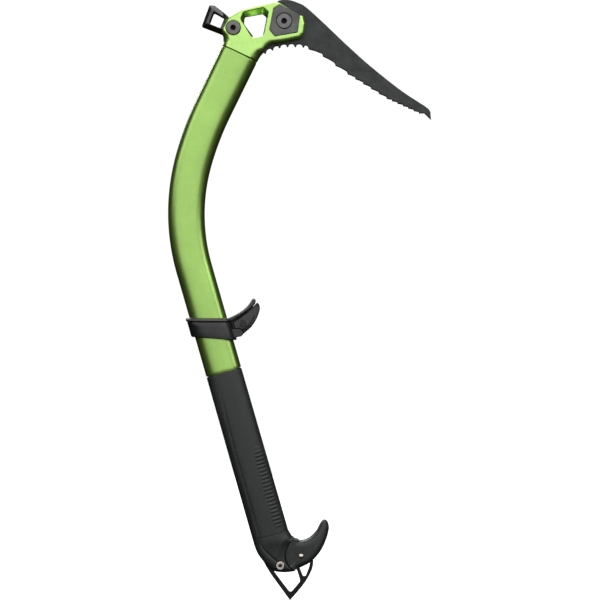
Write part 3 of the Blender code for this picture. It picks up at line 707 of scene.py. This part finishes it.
def grip_bump(s, across, depth):
    """Relief of the grip: short ridges near the front and a rounder band at the rear."""
    out = 0.0
    side = min(1.0, abs(depth) / HALF_DEPTH)
    if RIDGE_BOTTOM < s < RIDGE_TOP:
        row = sin(pi * (s - RIDGE_TOP) / RIDGE_PITCH) ** 2
        fade = max(0.0, 1 - abs(across - RIDGE_MIDDLE) / RIDGE_HALF) ** 0.5
        ends = min(1.0, (RIDGE_TOP - s) / 6, (s - RIDGE_BOTTOM) / 3)
        out += RIDGE_HEIGHT * row ** 1.2 * fade * ends * side
    crease = -8.9 + 2.0 * max(0.0, min(1.0, (s - 10) / 50))
    out -= 0.32 * exp(-((across - crease) / 0.9) ** 2) * side * max(0.0, min(1.0, (66 - s) / 30))
    return out


def build_grip():
    """Rubber sleeve with ridges, a crease along its rear and rounded ends."""
    top, bottom = GRIP_TOP - 0.3, GRIP_BOTTOM
    length = top - bottom
    bore = GRIP_STEP - 0.25

    def ring(s, inset, bump=None):
        return oval_ring(s, inset, GRIP_SIDES, bump)

    rings = [ring(bottom, 0.5), ring(bottom + 0.12, 0.1)]
    for k in range(GRIP_ROWS + 1):
        s = bottom + 0.4 + (length - 1.5) * k / GRIP_ROWS
        rings.append(ring(s, -0.3 * (1 - (s - bottom) / length), grip_bump))
    rings += [ring(top - 1.0, 0.06), ring(top - 0.1, 0.9), ring(top, 1.1)]
    rings += [ring(top, bore), ring(bottom, bore)]
    return place(loft("grip_skin", rings), "grip_rubber", "axe", "grip_sleeve")


# -------- head, pick and hammer

CHEEK_HALF = 8.5
HEAD_TAPER = 14.0
SEAM_GAP = 0.3
HEAD_OUTLINE = [
    (-50.8, -16.6, 3), (-50.9, -12.5, 3), (-52.1, -8.6, 4), (-51.2, -4.0, 3), (-46.2, 3.6, 3),
    (-35.7, 9.8, 8), (-22.4, 13.1, 8), (-7.0, 16.3, 3), (-3.2, 15.2, 2), (13.2, 5.3, 3), (16.3, 4.5, 2),
    (17.7, -2.2, 3), (16.6, -10.6, 4), (13.2, -14.6, 4), (0.3, -17.3, 8), (-10.9, -18.9, 6),
    (-16.1, -22.7, 4), (-19.6, -27.8, 8),
]
WINDOW = [(-36.4, 1.6, 2.5), (-33.9, 7.4, 2.5), (-17.1, 11.2, 3), (-12.9, 7.4, 2), (-17.1, -12.2, 2),
          (-26.6, -14.2, 1.5)]
WINDOW_FLOOR = [(-33.0, 4.3, 1.5), (-18.0, 7.0, 1.5), (-14.8, 4.1, 1.5), (-17.9, -11.4, 1), (-25.8, -11.9, 2),
                (-33.7, -1.4, 3)]
PLATE = [(-3.1, 13.9), (13.0, 5.2), (11.2, -9.4), (-7.7, -12.7), (-12.2, -7.2), (-8.8, 10.3)]
PLATE_GAP = 0.3
PICK_RAISE = 1.0
PICK_SLOT_HALF = 2.3
PICK_REAR = [(-4.6, 17.2), (-8.0, 14.2), (-9.9, 6.0), (-12.6, -10.0), (-16.4, -19.0), (-18.2, -25.8)]


def seam_point(side):
    """Front (1) or rear (-1) end of the head's seam with the shaft."""
    x, z, lean = station(SHAFT_TOP + SEAM_GAP)
    return (x + side * HEAD_HALF_WIDTH * cos(lean), z + side * HEAD_HALF_WIDTH * sin(lean))


def above_seam(x, z):
    """Distance above the seam with the shaft, and across the neck, forwards positive."""
    seam_x, seam_z, lean = station(SHAFT_TOP + SEAM_GAP)
    dx, dz = x - seam_x, z - seam_z
    return -dx * sin(lean) + dz * cos(lean), dx * cos(lean) + dz * sin(lean)


def head_half(x, z):
    height, _ = above_seam(x, z)
    return HEAD_HALF_DEPTH + (CHEEK_HALF - HEAD_HALF_DEPTH) * eased(height, 0, 1.2 * HEAD_TAPER)


def head_edge(x, z):
    """Width of the edge rounding: broad on the neck and round the pick, tight elsewhere."""
    height, across = above_seam(x, z)
    broad = 1 - eased(height, 12, 30)
    front = eased(across, 2, 10)
    right, up = x - PICK_BOLT[0], z - PICK_BOLT[1]
    lip = eased(right, -18, -8) * (1 - eased(up, 1, 8))
    return 1.9 + max(broad * (2.6 + 2.4 * front), 2.3 * lip)


def build_head():
    """Forging with soft neck edges, a window, sunk plates and a slot for the pick."""
    front, rear = (*seam_point(1), 0), (*seam_point(-1), 0)
    outline = filleted([rear] + at(PICK_BOLT, HEAD_OUTLINE) + [front])
    sides = densified(outline, 0.6, False)
    recess = [(x + copysign(PLATE_GAP, x), z + copysign(PLATE_GAP, z)) for x, z in PLATE]
    pockets = [(outline_of(PICK_BOLT, recess, 1.5), 6.0), (circle(HAMMER_BOLT, 6.4), 5.6)]
    pockets += [(circle(bolt, 3.2, 40), 4.2) for bolt in (PICK_BOLT, HAMMER_BOLT)]

    window_line, opening_line = outline_of(PICK_BOLT, WINDOW), outline_of(PICK_BOLT, WINDOW_FLOOR)
    window = densified(turned_to(window_line, True), 0.6)
    opening = densified(turned_to(opening_line, True), 0.6)

    def seam_and_window(points, thick):
        """Follow the shaft's oval at the seam, and slope the window's walls."""
        gap = nearest(points, [sides])
        inner, outer = distance(points, opening), distance(points, window)
        wall = 1.3 + (CHEEK_HALF - 1.7) * inner / (inner + outer + 1e-6)
        in_window = inside(points, window)
        for i, (x, z) in enumerate(points):
            height, _ = above_seam(x, z)
            thick[i] = meeting_oval(thick[i], gap[i], height, (4.0, 12.5), HEAD_HALF_WIDTH, head_half(x, z))
            if in_window[i]:
                thick[i] = wall[i]
            elif outer[i] < 0.8:
                thick[i] -= 0.4 * (1 - outer[i] / 0.8) ** 2
        return np.maximum(thick, 0.25)

    # A groove without depth puts mesh lines along the window's rim.
    head = relief("head_forging", outline, [opening_line], head_half, (head_edge, 2.8), (0.5, 0.3), pockets,
                  [(window_line + window_line[:1], 0.8, 0.0)], 0.6, 1.8, shape=seam_and_window, soft=[sides])
    rear = [(PICK_BOLT[0] + x - 0.3, PICK_BOLT[1] + z + PICK_RAISE) for x, z in PICK_REAR]
    slot = at(PICK_BOLT, [(30.0, 26.0), (-4.9, 26.0)]) + rear + at(PICK_BOLT, [(-18.6, -40.0), (30.0, -40.0)])
    cut(head, block(slot, PICK_SLOT_HALF))
    return place(head, "green_forging", "axe", "head")


SCALLOP_TIPS = [(-15.9, -27.0), (-9.9, -24.3), (-3.9, -22.4), (2.8, -21.5), (9.3, -21.5), (16.0, -21.9),
                (21.1, -23.8)]
LONG_TEETH = [(21.1, -23.6), (32.5, -29.6), (42.9, -37.2), (53.1, -44.4)]
MEDIUM_TEETH, MEDIUM_END = 5, (85.8, -64.9)
SMALL_TEETH, SMALL_END = 6, (112.8, -77.2)
PICK_TIP = (122.7, -82.5)


def scallops():
    """Row of round hollows with blunt teeth between them."""
    outline = []
    for (x0, z0), (x1, z1) in zip(SCALLOP_TIPS, SCALLOP_TIPS[1:]):
        outline += [(x0 - 0.7, z0 + 0.3), (x0 - 0.35, z0), (x0 + 0.35, z0), (x0 + 0.7, z0 + 0.3)]
        for k in range(13):
            t = k / 12
            across = x0 + 0.85 + (x1 - x0 - 1.7) * (0.5 - 0.5 * cos(pi * t))
            outline.append((across, z0 + (z1 - z0) * t + 0.7 + 1.8 * sin(pi * t) ** 0.9))
    return outline


def saw_edge():
    """Teeth that lean back: a shallow run from each tip, then a short steep drop."""
    tips = list(LONG_TEETH)
    for count, end in ((MEDIUM_TEETH, MEDIUM_END), (SMALL_TEETH, SMALL_END)):
        start = tips[-1]
        tips += [tuple(a + (b - a) * k / count for a, b in zip(start, end)) for k in range(1, count + 1)]
    outline = []
    for (x0, z0), (x1, z1) in zip(tips, tips[1:]):
        pitch = hypot(x1 - x0, z1 - z0)
        drop = 0.6 + 0.17 * pitch
        outline += [(x0, z0), (x0 + 0.40 * (x1 - x0), z0 + 0.40 * (z1 - z0) + 0.42 * drop),
                    (x0 + 0.76 * (x1 - x0), z0 + 0.76 * (z1 - z0) + 0.62 * drop),
                    (x1 - 0.16 * pitch, z1 + 1.10 * drop), (x1 - 0.09 * pitch, z1 + 0.98 * drop),
                    (x1 - 0.03 * pitch, z1 + 0.50 * drop)]
    return outline + [tips[-1], (tips[-1][0] + 4.2, tips[-1][1] + 0.2)]


def build_pick():
    """Steel blade with chamfered edges, thinner towards its point."""
    back = smooth([(-4.6, 17.2), (-0.5, 17.9), (4.5, 17.6), (11.5, 15.3), (18.0, 11.8), (31.6, -0.3),
                   (51.6, -19.3), (71.7, -37.3), (96.8, -57.3), (117.0, -70.6)])
    under = list(reversed(scallops() + saw_edge()))
    outline = back + [(120.6, -73.3), (122.2, -75.8), PICK_TIP] + under + list(reversed(PICK_REAR))[:-1]
    outline = [(x, z + PICK_RAISE) for x, z in outline]

    def half(x, z):
        return 2.0 - 0.5 * min(1.0, max(0.0, (x - PICK_BOLT[0] - 20.0) / 100.0))

    pick = relief("pick_blade", at(PICK_BOLT, outline), half=half, edge=(0.7, 0.6), step=0.6, grid=2.6)
    return place(pick, "black_steel", "axe", "pick")


def socket_head(name, centre, radius, top, seat, hexagon_radius, floor, shank, tip, turn=0.0, crown=0.55):
    """Bolt along Y: rounded head with a deep hexagon socket, and its shank.

    The head reaches from seat to top on the near side, and the shank to tip on the far side.
    """
    head = relief(name, circle(centre, radius), [hexagon(centre, hexagon_radius, turn)], top, (crown, crown),
                  (0.25, 0.2), step=0.5, grid=1.2, back=-seat)
    cup = 0.97 * hexagon_radius
    body = turned("shank", [(0.01, -floor), (cup, -floor), (cup, -seat - 0.2), (shank, -seat - 0.2),
                            (shank, tip - 0.5), (shank - 0.5, tip), (0.01, tip)], centre, 40)
    return joined(name, [head, body])


def shade_socket(bolt, centre, radius, top):
    """Paint the inside of a bolt's socket near black, as painted shade in the recess."""
    bolt.data.materials.append(SOCKET_SHADE)
    for face in bolt.data.polygons:
        x, y, z = face.center / MM
        if hypot(x - centre[0], z - centre[1]) < radius and -top < y < 0:
            face.material_index = 1


def flange_nut(name, centre, radius, hole, near, far, six_sided=False):
    """Round nut with two spanner holes, or a six-sided one, on the far side."""
    outline = hexagon(centre, radius) if six_sided else circle(centre, radius)
    spanner = [(centre[0] + side * 0.7 * radius, centre[1]) for side in (-1, 1)]
    pockets = [] if six_sided else [(circle(point, 0.7, 20), near + 0.5) for point in spanner]
    return mirrored(relief(name, outline, [circle(centre, hole, 40)], far, (0.5, 0.4), (0.3, 0.25), pockets,
                           step=0.45, grid=1.2, back=-near))


def build_pick_clamp():
    """Sunk washer plates, the bolt and its nut."""
    outline = outline_of(PICK_BOLT, PLATE, 1.2)
    for where in ("near", "far"):
        plate = relief("clamp_plate_" + where, outline, [circle(PICK_BOLT, 3.3, 48)], 8.62, (0.5, 0.45),
                       (0.2, 0.2), [(circle(PICK_BOLT, 6.9), 6.8)], step=0.5, grid=1.8, back=-6.3)
        if where == "far":
            mirrored(plate)
        place(plate, "grey_steel", "axe", "pick_plate_" + where)
    bolt = socket_head("clamp_bolt", PICK_BOLT, radius=6.3, top=8.95, seat=7.6, hexagon_radius=2.6, floor=4.6,
                       shank=2.9, tip=8.0, turn=12)
    place(bolt, "bolt_steel", "axe", "pick_bolt")
    shade_socket(bolt, PICK_BOLT, 2.62, 8.7)
    place(flange_nut("clamp_nut", PICK_BOLT, 6.3, 3.2, 7.6, 8.9), "bolt_steel", "axe", "pick_nut")


def build_hammer():
    """Square striking frame with bevelled bars, its tongue and its bolt."""
    corners = [(-62.4, 14.0, 0.9), (-58.4, 13.8, 0.9), (-47.0, 5.2, 0.5), (-43.5, 1.0, 2), (-38.0, -5.6, 4),
               (-42.0, -11.6, 4), (-50.2, -11.0, 1), (-54.2, -9.2, 2), (-68.8, -3.6, 0.9)]
    hole = [(-58.8, 8.4, 1.2), (-49.6, 3.4, 1.2), (-53.2, -5.6, 1.2), (-62.6, -1.7, 1.2)]

    def half(x, z):
        return 6.5 - 2.6 * eased(x - PICK_BOLT[0], -50.5, -48.5)

    hammer = relief("hammer_frame", outline_of(PICK_BOLT, corners), [outline_of(PICK_BOLT, hole)], half,
                    (3.4, 2.9), (0.5, 0.4), step=0.5, grid=1.2, profile=chamfered)
    place(hammer, "black_steel", "axe", "micro_hammer", finish="hammer_steel")
    bolt = socket_head("hammer_bolt_head", HAMMER_BOLT, radius=6.1, top=9.5, seat=5.9, hexagon_radius=2.5,
                       floor=4.6, shank=2.9, tip=8.0, turn=5, crown=0.9)
    place(bolt, "bolt_steel", "axe", "hammer_bolt")
    shade_socket(bolt, HAMMER_BOLT, 2.52, 9.2)
    place(flange_nut("hammer_nut_ring", HAMMER_BOLT, 6.1, 3.2, 5.9, 9.4), "bolt_steel", "axe", "hammer_nut")


# -------- finger trigger

COLLAR_BOTTOM, COLLAR_TOP, COLLAR_REAR_RISE, COLLAR_WALL = -5.9, 12.3, 2.3, 2.5
LEVER_TOP = [(-5.5, 8.9), (-1.6, 11.9), (3.0, 15.0), (7.7, 18.3), (12.6, 22.9), (14.9, 25.2)]
LEVER_CRESCENT = [(16.3, 24.2), (17.2, 21.2), (16.6, 17.4), (14.2, 11.3), (10.0, 4.9), (5.2, 0.6)]
TONGUE_TOP = [(-9.2, 12.2), (-4.4, 14.6), (0.4, 17.3), (4.8, 20.5), (8.6, 24.5), (11.0, 28.3)]
TONGUE_UNDER = [(13.6, 27.6), (13.1, 24.2), (7.2, 18.4), (2.6, 15.3), (-1.9, 12.3), (-5.4, 9.9), (-8.2, 9.0)]
COLLAR_FOOT = ((0, -0.9), (0.12, -0.4), (0.45, -0.08), (0.9, 0))  # height over the bottom, growth
COLLAR_LIP = ((3.9, 0), (3.5, -0.22), (3.1, 0), (2.7, 0.35), (2.2, 0.6), (1.5, 0.7), (1.1, 0.7),
              (0.15, -0.25), (0, -0.5))  # depth under the top, growth

# Rib under the tongue and the groove for it in the lever, which hide the gap between them.
RIB_HALF = 2.0
RIB_GROOVE_HALF = 2.4
RIB = [(-9.0, 10.0), (-1.9, 13.0), (2.6, 16.0), (7.2, 19.2), (11.0, 23.0), (12.0, 21.2), (8.1, 17.2),
       (3.5, 14.0), (-1.1, 11.0), (-4.3, 8.3), (-2.9, 3.0), (-9.0, 2.6)]
RIB_GROOVE = [(-10.0, 11.0), (-1.9, 14.0), (2.6, 17.0), (7.2, 20.2), (11.0, 24.5), (12.7, 21.1), (8.5, 16.8),
              (3.8, 13.6), (-0.9, 10.6), (-3.9, 8.1), (-2.5, 2.9), (-3.0, 2.0), (-10.0, 2.0)]


def level_ring(height, grow, rear_rise=0.0, sides=112):
    """Level slice of a skin round the leaning shaft, grown outwards, at a height from the pin."""
    ring = []
    for i in range(sides):
        across, depth = oval_point(i, sides, HALF_WIDTH + grow, HALF_DEPTH + grow)
        here = height + rear_rise * (HALF_WIDTH - across) / (2 * HALF_WIDTH)
        middle = -(LEVER_PIN[1] + here) * tan(LEAN)
        ring.append((middle + across / cos(LEAN), depth, LEVER_PIN[1] + here))
    return ring


def build_collar():
    """Collar with a rolled lip, its tongue and rib, and two ears inside the lever's sides."""
    full = 0.3 + COLLAR_WALL
    low, rise, top = COLLAR_BOTTOM, COLLAR_REAR_RISE, COLLAR_TOP
    outer = [level_ring(low + up, full + grow, rise) for up, grow in COLLAR_FOOT]
    outer += [level_ring(0.0, full, 0.6 * rise), level_ring(5.0, full, 0.2 * rise)]
    outer += [level_ring(top - down, full + grow) for down, grow in COLLAR_LIP]
    inner = [level_ring(top, 0.7), level_ring(top - 0.3, 0.35), level_ring(low + 0.3, 0.35, rise),
             level_ring(low, 0.7, rise)]
    collar = loft("collar_skin", outer + inner)

    def tongue_half(x, z):
        return 8.2 - 3.0 * eased(z - LEVER_PIN[1], 11, 29)

    outline = smooth(TONGUE_TOP) + [(12.4, 28.9)] + smooth(TONGUE_UNDER)
    tongue = relief("tongue", at(LEVER_PIN, outline), half=tongue_half, edge=(1.2, 1.5), step=0.5, grid=1.2)
    parts = [collar, tongue]
    ear = at(LEVER_PIN, [(-6.2, 3.3), (0, 3.3)] + arc((0, 0), 3.3, 75, -100, 20) + [(-4.2, -5.0)])
    for side in (-1, 1):
        lug = relief("ear", ear, half=1.4, edge=(0.5, 0.5), step=0.5, grid=1.2)
        for vertex in lug.data.vertices:
            vertex.co.y += side * 5.0 * MM
        parts.append(lug)
    parts.append(block(at(LEVER_PIN, RIB), RIB_HALF))
    collar = place(joined("trigger_collar", parts), "black_nylon", "finger_trigger", "strike_collar")
    # Painted highlight: faces on the lip's crest and up-facing faces on the tongue's top get the pale nylon.
    collar.data.materials.append(NYLON_HIGHLIGHT)
    crest = [LEVER_PIN[1] + top - 2.3, LEVER_PIN[1] + top - 1.05]
    lip_front = LEVER_PIN[0] - 10.0
    for face in collar.data.polygons:
        x, y, z = face.center / MM
        if face.normal.y * y <= 0.2:
            continue
        on_lip = x < lip_front and crest[0] < z < crest[1]
        on_tongue = x > lip_front and z > crest[1] and face.normal.z > 0.35 and abs(face.normal.y) > 0.3
        if on_lip or on_tongue:
            face.material_index = 1
    return collar


def build_lever():
    """Clamp lever: a wedge with a dished root, a rim along its belly and a small screw."""
    outline = smooth(LEVER_TOP) + smooth(LEVER_CRESCENT) + arc((0, 0), 3.0, -40, -170, 16) + [(-3.4, 1.2)]
    belly = densified(at(LEVER_PIN, smooth(LEVER_CRESCENT[1:])), 0.6, False)
    boss = (LEVER_PIN[0] + 3.4, LEVER_PIN[1] + 7.4)
    ear_room = [(-9, 3.6), (0, 3.6)] + arc((0, 0), 3.6, 80, -45, 16) + [(3.6, -9), (-9, -9)]

    def half(x, z):
        narrow = 7.7 - 2.5 * eased(z - LEVER_PIN[1], 5, 25)
        return narrow - 1.3 * (1 - eased(x - LEVER_PIN[0], -1.5, 5.0))

    def rim(points, thick):
        gap = distance(points, belly, False)
        step_down = 0.55 * (1 - np.clip((gap - 2.2) / 0.5, 0, 1))
        return np.maximum(thick - step_down, 0.3)

    lever = relief("trigger_wedge", at(LEVER_PIN, outline), half=half, edge=(1.5, 1.8), step=0.5, grid=0.9,
                   shape=rim, pockets=[(circle(boss, 2.75, 48), 6.5), (at(LEVER_PIN, ear_room), 3.3)])
    cut(lever, block(at(LEVER_PIN, RIB_GROOVE), RIB_GROOVE_HALF))
    place(lever, "black_nylon", "trigger_lever", "strike_lever")
    screw = socket_head("wedge_screw", boss, radius=2.5, top=7.9, seat=6.7, hexagon_radius=1.1, floor=5.6,
                        shank=1.2, tip=-1.5, crown=0.4)
    place(screw, "bolt_steel", "trigger_lever", "strike_screw", finish="black_steel")


# -------- pommel, spike and hook

FANG_HALF = 7.75
POMMEL_HALF = 10.3
LIP_WIDTH, LIP_DROP = 0.6, 1.6
SPIKE_SLOT_HALF = 2.05
FOLD_SLOT_HALF = 2.65
SEAT_CENTRE, SEAT_RADIUS, KNUCKLE_RADIUS = (3.66, 0.34), 16.5, 13.2
POMMEL_REAR = [(-38.9, 7.8), (-36.7, 2.6), (-33.6, -2.3), (-28.4, -8.4), (-22.9, -12.9), (-15.1, -14.2),
               (-8.6, -13.8), (-5.0, -13.2)]
FANG_FINGER_SIDE = [(-1.5, 12.5), (1.6, 12.6), (5.0, 13.7), (9.1, 16.5), (13.2, 21.2), (16.2, 27.0),
                    (18.9, 29.8), (21.9, 28.4), (23.3, 24.1)]
FANG_BACK = [(22.9, 20.0), (21.6, 15.2), (18.6, 7.7), (15.4, 2.5), (11.3, -2.4), (5.8, -6.9), (-1.8, -10.5)]
SPIKE_FRONT = [(-9.3, -37.7), (-2.8, -30.3), (3.1, -22.8), (7.2, -16.0), (9.6, -10.0), (10.3, -4.5)]
SPIKE_TANG = [(-1.4, 7.9), (-12.0, 8.4), (-26.4, 5.0), (-28.6, 2.0)]
SPIKE_REAR = [(-31.8, -4.6), (-25.8, -14.8), (-19.0, -24.3), (-9.3, -37.7)]
SPIKE_HOLE = [(-23.6, -12.4, 2), (-17.0, -11.4, 1), (-12.0, -11.0, 1), (-3.6, -11.6, 1.5),
              (-1.5, -18.5, 2), (-0.6, -22.0, 2.5), (-7.9, -30.6, 1), (-9.8, -30.6, 1), (-16.8, -21.6, 3)]
SPIKE_SLIT = [(-2.2, -8.2, 1), (7.7, -4.4, 1.2), (6.9, -9.6, 6), (3.9, -17.6, 1), (1.6, -17.6, 1)]
POMMEL_TOP = GRIP_BOTTOM - 0.08
CREASE = [(-35.2, 15.4), (-34.6, 13.2), (-33.9, 11.0), (-30.6, 5.5), (-25.3, 0.0), (-20.8, -3.9)]


def knuckle(clearance, end):
    """Round rear of the hook and, with a clearance, its seat in the pommel; top to bottom."""
    upper = arc(SEAT_CENTRE, SEAT_RADIUS + clearance, 125, 162, 16)
    lower = arc((0, 0), KNUCKLE_RADIUS + clearance, 160, end, 30)
    return upper + lower


def at_butt(s, t):
    x, z = along_grip(s, t)
    return x - FANG_PIN[0], z - FANG_PIN[1]


def build_pommel():
    """End cap with full round edges, a crease round its rear and a sunk bolt."""
    rear_top = at_butt(POMMEL_TOP, -HALF_WIDTH - 0.3)
    front_top = at_butt(POMMEL_TOP, HALF_WIDTH + 0.3)
    rear = smooth([rear_top] + POMMEL_REAR)
    front = smooth([(-7.6, 16.0), (-9.0, 18.2), front_top])
    outline = rear + list(reversed(knuckle(0.3, 249))) + front
    seat = np.array(at(FANG_PIN, knuckle(0.3, 249)))
    free_edges = [np.array(at(FANG_PIN, line)) for line in (rear, front)]

    def half(x, z):
        return POMMEL_HALF - 2.2 * min(1.0, max(0.0, (19.0 - (z - FANG_PIN[1])) / 30.0))

    def soften(points, thick):
        """Follow the grip's oval at the seam, and roll the seat's edge over a narrow lip."""
        near_seat = distance(points, seat, False)
        gap = nearest(points, free_edges)
        for i, (x, z) in enumerate(points):
            level = FANG_HALF + 0.15 - LIP_DROP * (1 - min(1.0, near_seat[i] / LIP_WIDTH)) ** 2
            thick[i] -= (half(x, z) - level) * (1 - eased(near_seat[i], LIP_WIDTH, 6.0))
            down = POMMEL_TOP - (-x * sin(LEAN) + z * cos(LEAN))
            thick[i] = meeting_oval(thick[i], gap[i], down, (2.0, 12.0), HALF_WIDTH + 0.3, HALF_DEPTH + 0.3)
        return np.maximum(thick, 0.3)

    pommel = relief("pommel_cap", at(FANG_PIN, outline), half=half, edge=(5.2, 6.4), step=0.6, grid=1.3,
                    pockets=[(circle(POMMEL_BOLT, 3.9, 56), 6.3)],
                    grooves=[(smooth(at(FANG_PIN, CREASE)), 1.1, 0.55)], shape=soften, soft=free_edges)
    slot = at(FANG_PIN, [(-32.6, -4.2), (-29.4, 2.4), (-27.4, 5.8), (-12.0, 9.2), (9.0, 9.2), (9.0, -25.0),
                         (-34.0, -25.0)])
    cut(pommel, block(slot, SPIKE_SLOT_HALF))
    return place(pommel, "grip_rubber", "axe", "pommel")


def build_spike():
    """Steel plate with chamfered edges, a large hole and a slit."""
    lug = arc((0, 0), 8.0, -5, 90, 20)
    outline = smooth(SPIKE_FRONT) + lug + SPIKE_TANG + smooth(SPIKE_REAR)[:-1]
    holes = [outline_of(FANG_PIN, SPIKE_HOLE), outline_of(FANG_PIN, SPIKE_SLIT),
             circle(POMMEL_BOLT, 2.2, 32), circle(FANG_PIN, 2.15, 32)]
    spike = relief("spike_plate", at(FANG_PIN, outline), holes, 1.75, (0.55, 0.5), (0.4, 0.4),
                   step=0.55, grid=1.8)
    return place(spike, "black_steel", "axe", "spike", finish="spike_steel")


def swept_slot():
    """Room for the spike's plate inside the hook while the hook folds away."""
    fold = radians(99)
    outline = [(-22.0, 9.0), (0.0, 9.0)]
    for x, z in reversed(SPIKE_FRONT[1:]):
        reach, angle = hypot(x, z) + 0.5, atan2(z, x) + fold
        outline.append((reach * cos(angle), reach * sin(angle)))
    return outline + [(34.0, 0.0), (30.0, -30.0), (-22.0, -30.0)]


def build_fang():
    """Finger hook with a full round section, forked round the spike's lug."""
    free_edge = smooth(list(reversed(FANG_BACK)) + list(reversed(FANG_FINGER_SIDE)))
    outline = free_edge + knuckle(0, 243)
    seat = np.array(at(FANG_PIN, knuckle(0, 243)))

    def half(x, z):
        reach = max(0.0, hypot(x - FANG_PIN[0], z - FANG_PIN[1]) - 14.0) / 22.0
        return FANG_HALF - 2.4 * min(1.0, reach)

    def seat_lip(points, thick):
        gap = distance(points, seat, False)
        return np.maximum(thick - LIP_DROP * (1 - np.clip(gap / LIP_WIDTH, 0, 1)) ** 2, 0.3)

    fang = relief("finger_hook_shell", at(FANG_PIN, outline), [circle(FANG_PIN, 2.2, 36)], half, (4.6, 5.0),
                  (0.35, 0.35), step=0.55, grid=1.2, shape=seat_lip, soft=[np.array(at(FANG_PIN, free_edge))])
    cut(fang, block(at(FANG_PIN, swept_slot()), FOLD_SLOT_HALF))
    place(fang, "grip_rubber", "finger_hook", "fang")
    pin = turned("hook_pin", [(0.01, -8.1), (1.1, -8.02), (1.7, -7.8), (2.1, -7.45), (2.1, 7.45), (1.7, 7.8),
                              (1.1, 8.02), (0.01, 8.1)], FANG_PIN, 48)
    place(pin, "bright_steel", "finger_hook", "fang_pin")


def build_pommel_bolt():
    """Through bolt of the pommel, and its six-sided nut."""
    bolt = socket_head("butt_bolt", POMMEL_BOLT, radius=3.6, top=9.3, seat=6.6, hexagon_radius=1.65,
                       floor=5.6, shank=1.9, tip=8.4, turn=20, crown=0.45)
    place(bolt, "bright_steel", "axe", "pommel_bolt")
    nut = flange_nut("butt_nut", POMMEL_BOLT, 3.5, 2.2, 6.6, 9.0, six_sided=True)
    place(nut, "bright_steel", "axe", "pommel_nut")


# -------- carried-over CAD nodes

def finish_cad_nodes():
    """Hidden and small CAD pieces keep their shape and get a real finish."""
    for node, slot in (("end_block", "plain_alloy"), ("fang_washer_near", "bright_steel"),
                       ("fang_washer_far", "bright_steel"), ("strike_lever_pin", "bolt_steel")):
        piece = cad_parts[node]
        if not piece.material_slots:
            piece.data.materials.append(FINISHES[slot])
        for holder in piece.material_slots:
            holder.material = FINISHES[slot]


# -------- studio, in metres

TOOL_MIDDLE = (0.04, 0.0, 0.13)
FLOOR_HALF = 9.0
FLOOR_LEVEL = -0.9
SENSOR_WIDTH = 36.0
CAMERA_DISTANCE = 1.5
VIEW_WIDTH = 0.50166


def add_light(name, position, size, power):
    """Rectangular soft box, in metres and watts, aimed at the tool's middle."""
    light = bpy.data.lights.new(name, "AREA")
    light.shape = "RECTANGLE"
    light.size, light.size_y = size
    light.energy = power
    lamp = add_object(name, light)
    lamp.location = position
    lamp.rotation_euler = (Vector(TOOL_MIDDLE) - Vector(position)).to_track_quat("-Z", "Y").to_euler()


def build_studio():
    """Pale floor, white surroundings and soft boxes on all sides.

    Neither floor nor surroundings light the tool or show in it, which keeps its edges dark.
    """
    corners = [(x * FLOOR_HALF / MM, y * FLOOR_HALF / MM, FLOOR_LEVEL / MM)
               for x, y in ((-1, -1), (1, -1), (1, 1), (-1, 1))]
    floor = make_object("floor", corners, [(0, 1, 2, 3)])
    pale = Finish("floor_white", (0.92, 0.92, 0.92), 0.9, 0.0)
    pale.shader.inputs["Emission Color"].default_value = (1, 1, 1, 1)
    pale.shader.inputs["Emission Strength"].default_value = 1.4
    floor.data.materials.append(pale.material)
    floor.visible_glossy = False
    floor.visible_diffuse = False

    world = bpy.data.worlds.new("studio")
    bpy.context.scene.world = world
    world.use_nodes = True
    backdrop = world.node_tree.nodes["Background"]
    backdrop.inputs["Color"].default_value = (1, 1, 1, 1)
    backdrop.inputs["Strength"].default_value = 1.05
    world.cycles_visibility.glossy = False
    world.cycles_visibility.diffuse = False

    add_light("front_box", (0.0, -2.2, 0.7), (3.4, 2.1), 35)
    add_light("right_box", (1.75, -1.35, 1.1), (0.9, 1.4), 13)
    add_light("left_box", (-1.75, -1.35, 1.2), (0.9, 1.4), 9)
    add_light("top_box", (0.1, -0.4, 1.7), (1.8, 1.4), 20)
    add_light("back_box", (-0.6, 1.9, 1.7), (2.0, 1.4), 48)


def build_camera():
    """Level camera straight in front, whose view is VIEW_WIDTH wide at the tool."""
    lens = bpy.data.cameras.new("camera")
    lens.sensor_width = SENSOR_WIDTH
    lens.lens = SENSOR_WIDTH * CAMERA_DISTANCE / VIEW_WIDTH
    camera = add_object("camera", lens)
    camera.location = (0.0443, -CAMERA_DISTANCE, 0.1279)
    camera.rotation_euler = (radians(90), 0, 0)
    bpy.context.scene.camera = camera
    bpy.context.scene.view_settings.view_transform = "Standard"


build_camera()
build_studio()
build_shaft()
build_grip()
build_head()
build_pick()
build_pick_clamp()
build_hammer()
build_collar()
build_lever()
build_pommel()
build_spike()
build_fang()
build_pommel_bolt()
finish_cad_nodes()
